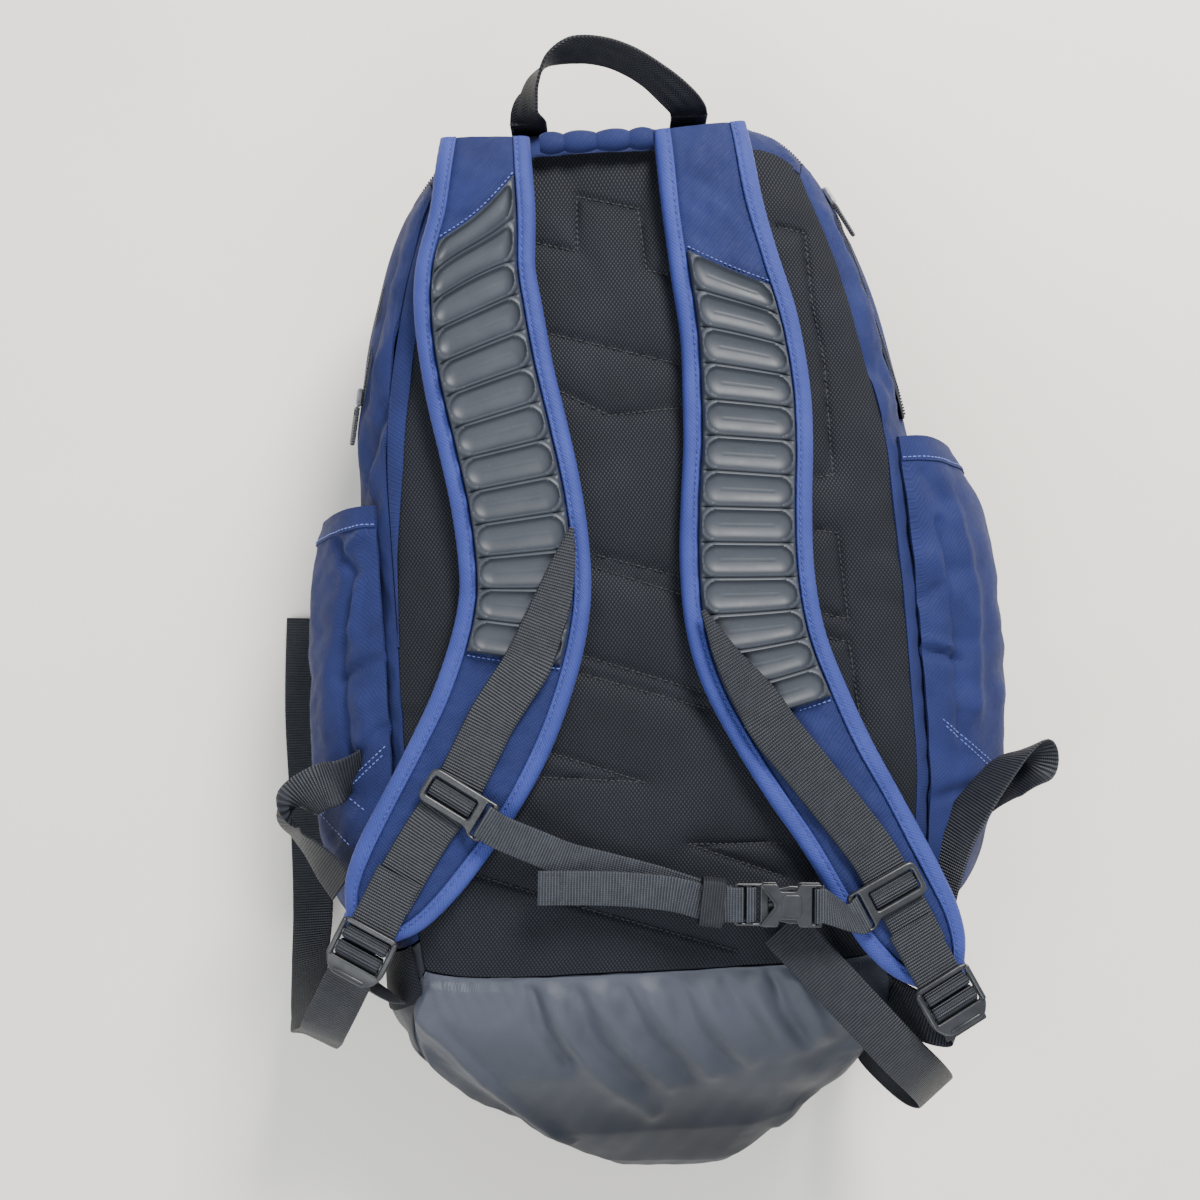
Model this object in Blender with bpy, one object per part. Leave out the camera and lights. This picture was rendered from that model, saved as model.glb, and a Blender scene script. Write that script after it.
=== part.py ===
"""Solar backpack lying on its front: a bag of sewn panels, a swinging harness, buckles, zips and a solar kit.

Frame: metres, +Z up from the surface it rests on, +Y towards the grab handle, +X to the right.
The origin is the middle of the flat solar frame that it rests on.
"""

import math

import bmesh
import bpy
from mathutils import Matrix, Vector

MM = 0.001
GAP = 0.3

# Bag, in millimetres
PANEL_TOP = 176.0
BAG_LOW = 3.6
CROWN_X = 9.0
CROWN_Y = 8.0
BOX_POWER = 8.0
TOP_REACH = 255.0
SIDE_BULGE = 0.07
FABRIC = 2.4
BACK_FOAM = 9.0
BOOT_CUT = -188.0
# Half width of the bag at stations along its length: (y, half width)
HALF_WIDTH = [
    (258, 106), (236, 114), (210, 123), (178, 133), (150, 140), (122, 147), (99, 152), (70, 155),
    (0, 157), (-100, 158), (-170, 155), (-198, 152), (-215, 150), (-235, 146), (-250, 137),
    (-262, 125), (-276, 112), (-290, 98), (-304, 85), (-318, 68), (-330, 56), (-345, 48),
]
# How far the bag's middle lies to the right of the Y axis, along its length
LEAN = [(140, 0), (0, 6), (-100, 8), (-180, 4), (-235, -6), (-265, -9), (-290, -6), (-320, 4)]
# Distance from the origin to the lower end, by height from the back panel (1) to the floor (-1)
LOWER_END = [(1.0, 208), (0.92, 216), (0.6, 258), (0.2, 300), (-0.2, 330), (-0.5, 342), (-1.0, 342)]

# Shoulder straps, in millimetres: (x, y, half width) along each centre line
LEFT_STRAP = [
    (-69, 248, 24), (-72, 206, 28), (-77, 175, 32), (-76.5, 150, 34), (-73, 120, 34.5), (-66.5, 85, 34.5),
    (-61.5, 55, 34.5), (-59, 25, 34.5), (-60, 0, 34.5), (-67, -28, 34.5), (-80, -60, 34.5), (-97, -90, 34),
    (-116, -118, 32), (-132, -140, 29), (-143, -155, 24), (-151, -166, 15),
]
RIGHT_STRAP = [
    (45, 248, 25), (48.5, 206, 26.5), (54, 170, 29), (59.5, 138, 31.5), (61.5, 106, 33.5), (61, 78, 34),
    (58.5, 48, 34.5), (57, 17, 35), (58.5, -12, 35.5), (64, -37, 35), (75, -64, 33.5), (89, -93, 31.5),
    (105, -122, 30), (126, -164, 29), (136, -182, 27), (144, -196, 22), (150, -207, 14),
]
STRAP_FOAM = 11.0
STRAP_LIFT = 1.0
BINDING = 9.0
POD_PITCH = 18.4
POD_HEIGHT = 4.2
POD_BASE = 1.6
LEFT_PODS = (207, -27)
RIGHT_PODS = (170, -61)
LEFT_SLANT = [(200, -0.85), (180, -0.64), (162, -0.38), (126, -0.19), (107, -0.08), (72, 0.02), (-2, -0.03), (-27, -0.14)]
RIGHT_SLANT = [(165, 0.62), (143, 0.45), (125, 0.32), (107, 0.2), (71, 0.03), (35, 0.0), (-1, 0.1), (-52, 0.18)]
WEBBING = 25.0
WEB_THICK = 1.3

# Webbing rails on the straps: (x, y, height over the strap top, half width that shows past the binding)
LEFT_RAIL = [
    (-33, 38, 7.4, 1.2), (-38, 21, 7.4, 6.0), (-44, 3, 7.4, 9.6), (-51, -13, 7.4, 11.2), (-59, -30, 7.4, 12.5),
    (-69, -44, 5.8, 12.5), (-79, -58, 3.8, 12.5), (-87, -72, 3.3, 12.5), (-102, -98, 3.3, 12.5),
    (-116, -116, 3.0, 12.5), (-128, -134, 2.4, 12.5), (-139.5, -152, 2.2, 12.5),
]
RIGHT_RAIL = [
    (32, -8, 7.4, 1.2), (38, -21, 7.4, 4.4), (43, -32, 7.4, 6.8), (50, -44, 7.4, 9.4), (58, -57, 7.4, 11.8),
    (66, -71, 6.4, 12.5), (82, -93, 3.8, 12.5), (103, -122, 3.3, 12.5), (115, -140, 3.3, 12.5),
    (124, -158, 3.3, 12.5), (131, -172, 2.4, 12.5), (140, -191, 2.2, 12.5),
]
LEFT_SLIDER = (-102, -98)
LEFT_SLIDER_UP = (0.56, 0.83)
RIGHT_SLIDER = (124, -158)
RIGHT_SLIDER_UP = (-0.43, 0.903)
LEFT_LOCK = (-154, -176)
LEFT_LOCK_UP = (0.50, 0.866)
RIGHT_LOCK = (152, -217)
RIGHT_LOCK_UP = (-0.46, 0.888)
SIDE_BAR = 22.5

# Sternum strap and buckle
STERNUM = 18.0
BUCKLE_Z = 193.6
BUCKLE_START = (40.0, -159.5)
BUCKLE_LENGTH = 45.0
BUCKLE_WIDE = 22.0

COLOURS = {
    "navy": (0.045, 0.07, 0.21, 1.0),
    "binding": (0.07, 0.10, 0.30, 1.0),
    "mesh": (0.018, 0.02, 0.024, 1.0),
    "boot": (0.035, 0.037, 0.045, 1.0),
    "pods": (0.06, 0.065, 0.075, 1.0),
    "webbing": (0.025, 0.025, 0.028, 1.0),
    "plastic": (0.03, 0.03, 0.035, 1.0),
    "sheet": (0.6, 0.6, 0.6, 1.0),
    "cells": (0.01, 0.015, 0.05, 1.0),
    "steel": (0.5, 0.5, 0.52, 1.0),
}


def material(name, colour, rough=0.7):
    made = bpy.data.materials.new(name)
    made.use_nodes = True
    shader = made.node_tree.nodes["Principled BSDF"]
    shader.inputs["Base Color"].default_value = COLOURS[colour]
    shader.inputs["Roughness"].default_value = rough
    return made


def stations(table, at):
    """Straight-line reading of a table of (place, value), with places in either order."""
    rows = sorted(table)
    if at <= rows[0][0]:
        return rows[0][1]
    for (a, va), (b, vb) in zip(rows, rows[1:]):
        if at <= b:
            return va + (vb - va) * (at - a) / (b - a)
    return rows[-1][1]


def spline(points, count):
    """Evenly spaced points on a smooth curve through points of any number of coordinates."""
    fine = []
    last = len(points) - 1
    for k in range(last):
        p0, p1 = points[max(k - 1, 0)], points[k]
        p2, p3 = points[k + 1], points[min(k + 2, last)]
        for j in range(16):
            t = j / 16
            fine.append(tuple(
                0.5 * (2 * b + (c - a) * t + (2 * a - 5 * b + 4 * c - d) * t * t + (3 * b - a - 3 * c + d) * t ** 3)
                for a, b, c, d in zip(p0, p1, p2, p3)
            ))
    fine.append(tuple(float(v) for v in points[-1]))
    reach = [0.0]
    for a, b in zip(fine, fine[1:]):
        reach.append(reach[-1] + math.dist(a[:2], b[:2]) + 1e-6 + abs(a[-1] - b[-1]) * 0.2)
    out = []
    k = 0
    for n in range(count):
        want = reach[-1] * n / (count - 1)
        while k < len(fine) - 2 and reach[k + 1] < want:
            k += 1
        t = min(max((want - reach[k]) / (reach[k + 1] - reach[k]), 0.0), 1.0)
        out.append(tuple(a + (b - a) * t for a, b in zip(fine[k], fine[k + 1])))
    return out


def add_mesh(name, verts, faces, look, smooth=True):
    """A mesh object from millimetre points, with outward faces."""
    mesh = bpy.data.meshes.new(name)
    mesh.from_pydata([Vector(v) * MM for v in verts], [], faces)
    work = bmesh.new()
    work.from_mesh(mesh)
    bmesh.ops.remove_doubles(work, verts=work.verts, dist=1e-6)
    bmesh.ops.recalc_face_normals(work, faces=work.faces)
    work.to_mesh(mesh)
    work.free()
    mesh.materials.append(look)
    obj = bpy.data.objects.new(name, mesh)
    parts.objects.link(obj)
    if smooth:
        for poly in mesh.polygons:
            poly.use_smooth = True
        mesh.set_sharp_from_angle(angle=math.radians(40))
    return obj


def slab(name, outer, inner, look):
    """A closed sheet between two grids of points."""
    rows, cols = len(outer), len(outer[0])
    verts = [p for row in outer for p in row] + [p for row in inner for p in row]
    half = rows * cols

    def at(r, c, side):
        return side * half + r * cols + c

    faces = []
    for r in range(rows - 1):
        for c in range(cols - 1):
            faces.append((at(r, c, 0), at(r, c + 1, 0), at(r + 1, c + 1, 0), at(r + 1, c, 0)))
            faces.append((at(r, c, 1), at(r + 1, c, 1), at(r + 1, c + 1, 1), at(r, c + 1, 1)))
    rim = [(0, c) for c in range(cols)] + [(r, cols - 1) for r in range(1, rows)]
    rim += [(rows - 1, c) for c in range(cols - 2, -1, -1)] + [(r, 0) for r in range(rows - 2, 0, -1)]
    for (r, c), (r2, c2) in zip(rim, rim[1:] + rim[:1]):
        faces.append((at(r, c, 0), at(r, c, 1), at(r2, c2, 1), at(r2, c2, 0)))
    return add_mesh(name, verts, faces, look)


def ribbon(name, path, sides, width, thick, look):
    """Flat webbing along path. sides and width are one for all, or one for each point."""
    points = [Vector(p) for p in path]
    verts, faces = [], []
    for k, p in enumerate(points):
        way = points[min(k + 1, len(points) - 1)] - points[max(k - 1, 0)]
        side = Vector(sides[k] if isinstance(sides[0], (tuple, list, Vector)) else sides)
        side = (side - way.normalized() * side.dot(way.normalized())).normalized()
        up = side.cross(way).normalized()
        wide = width[k] if isinstance(width, list) else width
        for a, b in ((-1, -1), (1, -1), (1, 1), (-1, 1)):
            verts.append(p + side * (a * wide / 2) + up * (b * thick / 2))
    for k in range(len(points) - 1):
        for j in range(4):
            n = (j + 1) % 4
            faces.append((4 * k + j, 4 * k + n, 4 * k + 4 + n, 4 * k + 4 + j))
    faces.append((3, 2, 1, 0))
    end = 4 * (len(points) - 1)
    faces.append((end, end + 1, end + 2, end + 3))
    return add_mesh(name, verts, faces, look)


def tube(name, path, radius, look, around=10):
    """A round rod along path."""
    points = [Vector(p) for p in path]
    verts, faces = [], []
    for k, p in enumerate(points):
        way = (points[min(k + 1, len(points) - 1)] - points[max(k - 1, 0)]).normalized()
        side = way.cross(Vector((0.31, 0.17, 0.93))).normalized()
        up = side.cross(way)
        for j in range(around):
            turn = 2 * math.pi * j / around
            verts.append(p + side * (radius * math.cos(turn)) + up * (radius * math.sin(turn)))
    for k in range(len(points) - 1):
        for j in range(around):
            n = (j + 1) % around
            faces.append((around * k + j, around * k + n, around * (k + 1) + n, around * (k + 1) + j))
    faces.append(tuple(range(around - 1, -1, -1)))
    end = around * (len(points) - 1)
    faces.append(tuple(range(end, end + around)))
    return add_mesh(name, verts, faces, look)


def placed(centre, right, up):
    """The matrix, in millimetres, whose X is right, whose Y is up and whose Z is their cross product."""
    x = Vector(right).normalized()
    y = Vector(up)
    y = (y - x * x.dot(y)).normalized()
    z = x.cross(y)
    return Matrix.Translation(Vector(centre)) @ Matrix((x, y, z)).transposed().to_4x4()


def plate(name, outline, holes, low, high, where, look, rim=0.4):
    """A flat moulding: an outline with holes, from height low to high in the frame of where."""
    curve = bpy.data.curves.new(name, "CURVE")
    curve.dimensions = "2D"
    curve.fill_mode = "BOTH"
    curve.extrude = (high - low) / 2 - rim
    curve.bevel_depth = rim
    curve.bevel_resolution = 0
    curve.offset = -rim
    for loop in [outline] + holes:
        line = curve.splines.new("POLY")
        line.points.add(len(loop) - 1)
        for point, (x, y) in zip(line.points, loop):
            point.co = (x, y, 0.0, 1.0)
        line.use_cyclic_u = True
    guide = bpy.data.objects.new(name + "_outline", curve)
    bpy.context.scene.collection.objects.link(guide)
    bpy.context.view_layer.update()
    flat = bpy.data.meshes.new_from_object(guide.evaluated_get(bpy.context.evaluated_depsgraph_get()))
    bpy.data.objects.remove(guide)
    shift = Matrix.Translation((0, 0, (high + low) / 2))
    verts = [where @ shift @ v.co for v in flat.vertices]
    faces = [tuple(p.vertices) for p in flat.polygons]
    bpy.data.meshes.remove(flat)
    return add_mesh(name, verts, faces, look)


def rounded(half_x, half_y, corner, steps=3, centre=(0.0, 0.0)):
    """The outline of a rectangle with rounded corners."""
    out = []
    for quarter, (sx, sy) in enumerate(((1, 1), (-1, 1), (-1, -1), (1, -1))):
        for k in range(steps + 1):
            turn = math.pi / 2 * (quarter + k / steps)
            out.append((
                centre[0] + sx * (half_x - corner) + corner * math.cos(turn),
                centre[1] + sy * (half_y - corner) + corner * math.sin(turn),
            ))
    return out


def block(name, where, size, look, edge=0.6):
    """A box with small bevels, centred in the frame of where."""
    obj_mesh = bmesh.new()
    bmesh.ops.create_cube(obj_mesh, size=1.0)
    for v in obj_mesh.verts:
        v.co = Vector((v.co.x * size[0], v.co.y * size[1], v.co.z * size[2]))
    if edge > 0:
        bmesh.ops.bevel(obj_mesh, geom=obj_mesh.edges[:], offset=edge, segments=1, affect="EDGES")
    verts = [where @ v.co for v in obj_mesh.verts]
    faces = [[v.index for v in f.verts] for f in obj_mesh.faces]
    obj_mesh.free()
    return add_mesh(name, verts, faces, look)


def joined(name, pieces, look):
    """One solid from overlapping solids, which are used up."""
    base = pieces[0]
    for other in pieces[1:]:
        step = base.modifiers.new("join", "BOOLEAN")
        step.operation = "UNION"
        step.solver = "EXACT"
        step.object = other
    bpy.context.view_layer.update()
    mesh = bpy.data.meshes.new_from_object(base.evaluated_get(bpy.context.evaluated_depsgraph_get()))
    work = bmesh.new()
    work.from_mesh(mesh)
    bmesh.ops.remove_doubles(work, verts=work.verts, dist=1e-6)
    bmesh.ops.dissolve_degenerate(work, edges=work.edges, dist=1e-6)
    work.to_mesh(mesh)
    work.free()
    for piece in pieces:
        bpy.data.objects.remove(piece)
    mesh.name = name
    mesh.materials.clear()
    mesh.materials.append(look)
    for poly in mesh.polygons:
        poly.use_smooth = True
    mesh.set_sharp_from_angle(angle=math.radians(40))
    obj = bpy.data.objects.new(name, mesh)
    parts.objects.link(obj)
    return obj


def panel_height(x, y):
    """Height of the crowned back panel."""
    return PANEL_TOP - CROWN_X * (x / 140) ** 2 - CROWN_Y * ((y + 30) / 260) ** 2


def bag_point(a, b, c, inset=0.0):
    """A point of the bag's skin from box coordinates in -1..1. inset moves it inward, in millimetres."""
    size = (abs(a) ** BOX_POWER + abs(b) ** BOX_POWER + abs(c) ** BOX_POWER) ** (1 / BOX_POWER)
    x, y, z = a / size, b / size, c / size
    reach = TOP_REACH if y > 0 else stations(LOWER_END, z)
    along = y * reach
    wide = stations(HALF_WIDTH, along) * (1 - SIDE_BULGE * z * z)
    across = stations(LEAN, along) + x * wide * (1 - inset / 150)
    top = panel_height(across, along)
    middle = (top + BAG_LOW) / 2
    height = middle + z * (top - BAG_LOW) / 2 * (1 - inset / 86)
    return (across, along * (1 - inset / 262), height)


def spread(low, high, count, ease=0.0):
    """Evenly spread numbers. ease above 0 packs them towards both ends."""
    out = []
    for k in range(count):
        t = k / (count - 1)
        t = t * (1 - ease) + ease * (0.5 - 0.5 * math.cos(math.pi * t))
        out.append(low + (high - low) * t)
    return out


def bag_panel(name, face, first, second, counts, thick, look, proud=0.0):
    """A panel of the bag: face is the box axis and sign, first and second are its ranges in the other two."""
    axis, sign = face
    rest = [k for k in range(3) if k != axis]
    outer, inner = [], []
    for u in spread(first[0], first[1], counts[0], 0.6):
        top_row, low_row = [], []
        for v in spread(0.0, 1.0, counts[1], 0.6):
            lo = second[0](u) if callable(second[0]) else second[0]
            hi = second[1](u) if callable(second[1]) else second[1]
            spot = [0.0, 0.0, 0.0]
            spot[axis] = float(sign)
            spot[rest[0]] = u
            spot[rest[1]] = lo + (hi - lo) * v
            top_row.append(bag_point(*spot, inset=-proud))
            low_row.append(bag_point(*spot, inset=thick - proud))
        outer.append(top_row)
        inner.append(low_row)
    return slab(name, outer, inner, look)


def strap_frame(table, count):
    """(centre, side direction, half width) along a strap, in plan."""
    rows = spline(table, count)
    out = []
    for k, (x, y, half) in enumerate(rows):
        ahead, back = rows[min(k + 1, count - 1)], rows[max(k - 1, 0)]
        way = Vector((ahead[0] - back[0], ahead[1] - back[1])).normalized()
        out.append((Vector((x, y)), Vector((-way.y, way.x)), half))
    return out


def strap_height(x, y):
    """Height of a strap's underside. Straps dip over the bag's top edge."""
    dip = 8.0 * (max(y - 222.0, 0.0) / 26.0) ** 2
    return panel_height(x, y) + STRAP_LIFT - dip


def strap_top(x, y):
    return strap_height(x, y) + STRAP_FOAM


def strap_part(name, table, lo, hi, look, count=24, across=3, edge_drop=0.8):
    """The strap's foam core: a sheet between the edge bindings."""
    outer, inner = [], []
    for centre, side, half in strap_frame(table, count):
        top_row, low_row = [], []
        inside = half - BINDING - GAP
        for k in range(across):
            t = -1 + 2 * k / (across - 1)
            spot = centre + side * (t * inside)
            base = strap_height(spot.x, spot.y)
            top_row.append((spot.x, spot.y, base + hi - edge_drop * t * t))
            low_row.append((spot.x, spot.y, base + lo))
        outer.append(top_row)
        inner.append(low_row)
    return slab(name, outer, inner, look)


def strap_binding(name, table, look, count=24):
    """The rounded tape along both edges and round the lower end of a strap."""
    rows = strap_frame(table, count)
    ways = [(centre + side * (half - BINDING / 2), side, BINDING) for centre, side, half in rows]
    tip, tip_side, tip_half = rows[-1]
    down = Vector((tip_side.y, -tip_side.x))
    if down.y > 0:
        down = -down
    middle = tip_half - BINDING / 2
    for k in range(1, 6):
        turn = math.pi * k / 6
        out_way = tip_side * math.cos(turn) + down * math.sin(turn)
        ways.append((tip + out_way * middle, out_way, BINDING))
    ways += [(centre - side * (half - BINDING / 2), -side, BINDING) for centre, side, half in reversed(rows)]
    shape = [(-0.5, 0.0), (0.15, 0.0), (0.5, 3.0), (0.5, 8.2), (0.15, 11.2), (-0.5, 11.4)]
    verts, faces = [], []
    for spot, out_way, wide in ways:
        for across, up in shape:
            p = spot + out_way * (across * wide)
            verts.append((p.x, p.y, strap_height(p.x, p.y) + up))
    ring = len(shape)
    for k in range(len(ways) - 1):
        for j in range(ring):
            n = (j + 1) % ring
            faces.append((ring * k + j, ring * k + n, ring * (k + 1) + n, ring * (k + 1) + j))
    faces.append(tuple(range(ring - 1, -1, -1)))
    end = ring * (len(ways) - 1)
    faces.append(tuple(range(end, end + ring)))
    return add_mesh(name, verts, faces, look)


def strap_pods(name, table, span, slant, look):
    """The moulded pad: a row of hollow troughs with raised rims. slant is how far the troughs lean."""
    rows = strap_frame(table, 200)
    length = sum((b[0] - a[0]).length for a, b in zip(rows, rows[1:]))
    step = length / (len(rows) - 1)
    first = next(k for k, row in enumerate(rows) if row[0].y < span[0])
    last = next(k for k, row in enumerate(rows) if row[0].y < span[1])
    pods = round((last - first) * step / POD_PITCH)
    fine = pods * 4 + 1
    outer, inner = [], []
    across = [-1.0, -0.86, -0.45, 0.0, 0.45, 0.86, 1.0]
    for n in range(fine):
        middle = first + (last - first) * n / (fine - 1)
        lean = stations(slant, rows[int(middle)][0].y)
        phase = abs(math.sin(math.pi * pods * n / (fine - 1)))
        top_row, low_row = [], []
        for k in across:
            at = min(max(middle + k * 22.0 * lean / step, 0.0), len(rows) - 1.001)
            low = int(at)
            t = at - low
            centre = rows[low][0].lerp(rows[low + 1][0], t)
            side = rows[low][1].lerp(rows[low + 1][1], t)
            half = rows[low][2] + (rows[low + 1][2] - rows[low][2]) * t - BINDING - 1.2
            spot = centre + side * (k * half)
            base = strap_top(spot.x, spot.y)
            hollow = 0.8 * math.sqrt(phase) * (1 - abs(k) ** 6)
            rise = POD_HEIGHT * (1 - hollow) if abs(k) < 0.95 else 0.0
            top_row.append((spot.x, spot.y, base + GAP + POD_BASE + rise))
            low_row.append((spot.x, spot.y, base + GAP))
        outer.append(top_row)
        inner.append(low_row)
    return slab(name, outer, inner, look)


def rail(name, table, look, count=20):
    """The webbing that runs down a strap."""
    rows = spline(table, count)
    path, sides, widths = [], [], []
    for k, (x, y, lift, half) in enumerate(rows):
        ahead, back = rows[min(k + 1, count - 1)], rows[max(k - 1, 0)]
        way = Vector((ahead[0] - back[0], ahead[1] - back[1])).normalized()
        path.append((x, y, strap_top(x, y) + lift))
        across = Vector((-way.y, way.x))
        tilt = strap_top(x + across.x * 5, y + across.y * 5) - strap_top(x - across.x * 5, y - across.y * 5)
        sides.append((across.x, across.y, tilt / 10))
        widths.append(2 * min(half, WEBBING / 2))
    return ribbon(name, path, sides, widths, WEB_THICK, look)


def slider(name, where, look):
    """A webbing slider with a loop at its inner end. It clips round the rail."""
    outline = [(-16, 8.0), (-14.5, 9.5), (22.6, 9.5), (24.2, 8.0), (24.2, -11.6), (22.6, -13.0),
               (17.0, -13.0), (13.5, -9.5), (-14.5, -9.5), (-16, -8.0)]
    holes = [rounded(13.2, 5.6, 1.0, 2), rounded(1.6, 9.6, 0.8, 2, (19.3, -1.8))]
    ring = plate(name + "_ring", outline, holes, 1.1, 3.5, where, look)
    bar = block(name + "_bar", where @ Matrix.Translation((0, 0, -1.75)), (30.0, 4.0, 1.3), look, 0.3)
    post_a = block(name + "_a", where @ Matrix.Translation((-14.3, 0, 0.2)), (1.8, 4.0, 5.0), look, 0.0)
    post_b = block(name + "_b", where @ Matrix.Translation((14.3, 0, 0.2)), (1.8, 4.0, 5.0), look, 0.0)
    return joined(name, [ring, bar, post_a, post_b], look)


def ladder_lock(name, where, look):
    """A ladder lock: two bars in a frame and a lifting lip."""
    outline = [(-16.5, 11.0), (-14.5, 13.0), (14.5, 13.0), (16.5, 11.0), (16.5, -9.0), (14.5, -11.5),
               (11.0, -17.0), (9.0, -18.0), (-9.0, -18.0), (-11.0, -17.0), (-14.5, -11.5), (-16.5, -9.0)]
    holes = [rounded(13.2, 1.8, 0.7, 2, (0, 8.2)), rounded(13.2, 2.2, 0.7, 2, (0, 1.2)),
             rounded(13.2, 1.7, 0.7, 2, (0, -6.9))]
    return plate(name, outline, holes, -1.2, 1.2, where, look)


def lock_loop(name, where, look):
    """The sewn end of a strap's webbing, wrapped round a ladder lock's upper bar."""
    path = [(0, 19, -2.3), (0, 11.5, -2.3), (0, 9.2, -1.7), (0, 8.2, 0.3), (0, 7.0, 2.3), (0, 4.9, 2.9),
            (0, 3.2, 2.4), (0, 2.6, 0.6), (0, 2.6, -1.6), (0, 4.2, -3.6), (0, 9.0, -4.0), (0, 17, -4.0)]
    return ribbon(name, [where @ Vector(p) for p in path], where.to_3x3() @ Vector((1, 0, 0)),
                  WEBBING, 1.2, look)


def pocket(name, sign, hem, bulge, look):
    """A stretch pocket that stands off the bag's side, open at its top."""
    outer, inner = [], []
    rows = 11
    for k in range(rows):
        down = k / (rows - 1)
        top_row, low_row = [], []
        for c in spread(0.80, -0.80, 9):
            part = (0.80 - c) / 1.60
            y = hem - 10 * math.sin(math.pi * part) + (BOOT_CUT + 6 - hem) * down
            b = y / (TOP_REACH if y > 0 else stations(LOWER_END, c))
            flat = Vector(bag_point(float(sign), b, c))
            out = stations(bulge, y) * math.sin(math.pi * part) ** 0.75
            top_row.append((flat.x + sign * (out + FABRIC + 0.9), flat.y, flat.z))
            low_row.append((flat.x + sign * (out + 0.9), flat.y, flat.z))
        outer.append(top_row)
        inner.append(low_row)
    return slab(name, outer, inner, look)


def boot_edge(c, y=BOOT_CUT):
    """The box coordinate at which a side panel gives way to the boot."""
    return y / stations(LOWER_END, c)


def zip_path(count, inset, height, reach):
    """Points along the zip, up one side, over the top and down the other."""
    spots = [(-1.0, b) for b in spread(reach, 1.0, count)]
    spots += [(a, 1.0) for a in spread(-1.0, 1.0, count + 4)[1:-1]]
    spots += [(1.0, b) for b in spread(1.0, reach, count)]
    return [Vector(bag_point(a, b, height, inset)) for a, b in spots]


for found in list(bpy.data.objects):
    bpy.data.objects.remove(found)
parts = bpy.data.collections.new("solar_backpack")
bpy.context.scene.collection.children.link(parts)

navy = material("navy_fabric", "navy", 0.85)
tape = material("binding_fabric", "binding", 0.85)
mesh_look = material("spacer_mesh", "mesh", 0.9)
boot_look = material("coated_boot", "boot", 0.45)
pod_look = material("moulded_foam", "pods", 0.6)
web_look = material("webbing", "webbing", 0.8)
plastic = material("buckle_plastic", "plastic", 0.35)
stiff = material("frame_sheet_plastic", "sheet", 0.5)
cell_look = material("solar_cells", "cells", 0.2)
steel = material("zip_metal", "steel", 0.35)

# Bag
EDGE = 0.996
bag_panel("back_panel", (2, 1), (-EDGE, EDGE), (-EDGE, EDGE), (13, 15), BACK_FOAM, mesh_look)
bag_panel("frame_sheet", (2, 1), (-0.80, 0.80), (-0.82, 0.86), (5, 7), 1.5, stiff, -10.8)
bag_panel("laptop_sleeve", (2, 1), (-0.74, 0.74), (-0.80, 0.60), (5, 7), 2.5, mesh_look, -14.0)
bag_panel("front_panel", (2, -1), (-0.975, 0.975), (-0.965, 0.98), (11, 13), FABRIC, navy)
bag_panel("top_panel", (1, 1), (-EDGE, EDGE), (-EDGE, EDGE), (11, 7), FABRIC, navy)
bag_panel("bottom_boot", (1, -1), (-EDGE, EDGE), (-EDGE, EDGE), (13, 9), FABRIC, boot_look)
for word, sign in (("left", -1), ("right", 1)):
    outer, inner, low_outer, low_inner = [], [], [], []
    for c in spread(-EDGE, EDGE, 9, 0.6):
        cut = boot_edge(c)
        upper = [cut + 0.004 + (EDGE - cut - 0.004) * t for t in spread(0.0, 1.0, 11, 0.4)]
        lower = [-EDGE + (cut - 0.004 + EDGE) * t for t in spread(0.0, 1.0, 6, 0.4)]
        outer.append([bag_point(float(sign), b, c) for b in upper])
        inner.append([bag_point(float(sign), b, c, FABRIC) for b in upper])
        low_outer.append([bag_point(float(sign), b, c) for b in lower])
        low_inner.append([bag_point(float(sign), b, c, FABRIC) for b in lower])
    slab(word + "_side_panel", outer, inner, navy)
    slab(word + "_boot_side", low_outer, low_inner, boot_look)
pocket("left_pocket", -1, 60, [(-182, 1), (-172, 20), (-150, 31), (-72, 36), (-3, 32), (40, 24), (62, 18)], navy)
pocket("right_pocket", 1, 84, [(-182, 1), (-172, 18), (-126, 32), (-60, 40), (0, 41), (40, 38), (66, 26), (86, 18)],
       navy)
for word, sign in (("left", -1), ("right", 1)):
    outer, inner = [], []
    for c in spread(0.1, 0.84, 6):
        spots = [y / stations(LOWER_END, c) for y in spread(-196, -214, 4)]
        outer.append([bag_point(float(sign), b, c, -1.6) for b in spots])
        inner.append([bag_point(float(sign), b, c, -0.5) for b in spots])
    slab(word + "_gusset", outer, inner, mesh_look)

# Scalloped roll on the top edge, between the straps
roll = []
for k in range(19):
    t = k / 18
    swell = 4.2 + 2.0 * abs(math.sin(3 * math.pi * t)) ** 0.6
    x = -32 + 50 * t
    ring = []
    for j in range(8):
        turn = 2 * math.pi * j / 8
        ring.append((x, 250 + swell * 1.1 * math.cos(turn), 171 + swell * math.sin(turn)))
    roll.append(ring)
verts = [p for ring in roll for p in ring]
faces = [tuple(range(7, -1, -1)), tuple(range(18 * 8, 19 * 8))]
for k in range(18):
    for j in range(8):
        faces.append((8 * k + j, 8 * k + (j + 1) % 8, 8 * k + 8 + (j + 1) % 8, 8 * k + 8 + j))
add_mesh("top_edge_roll", verts, faces, navy)

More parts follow.
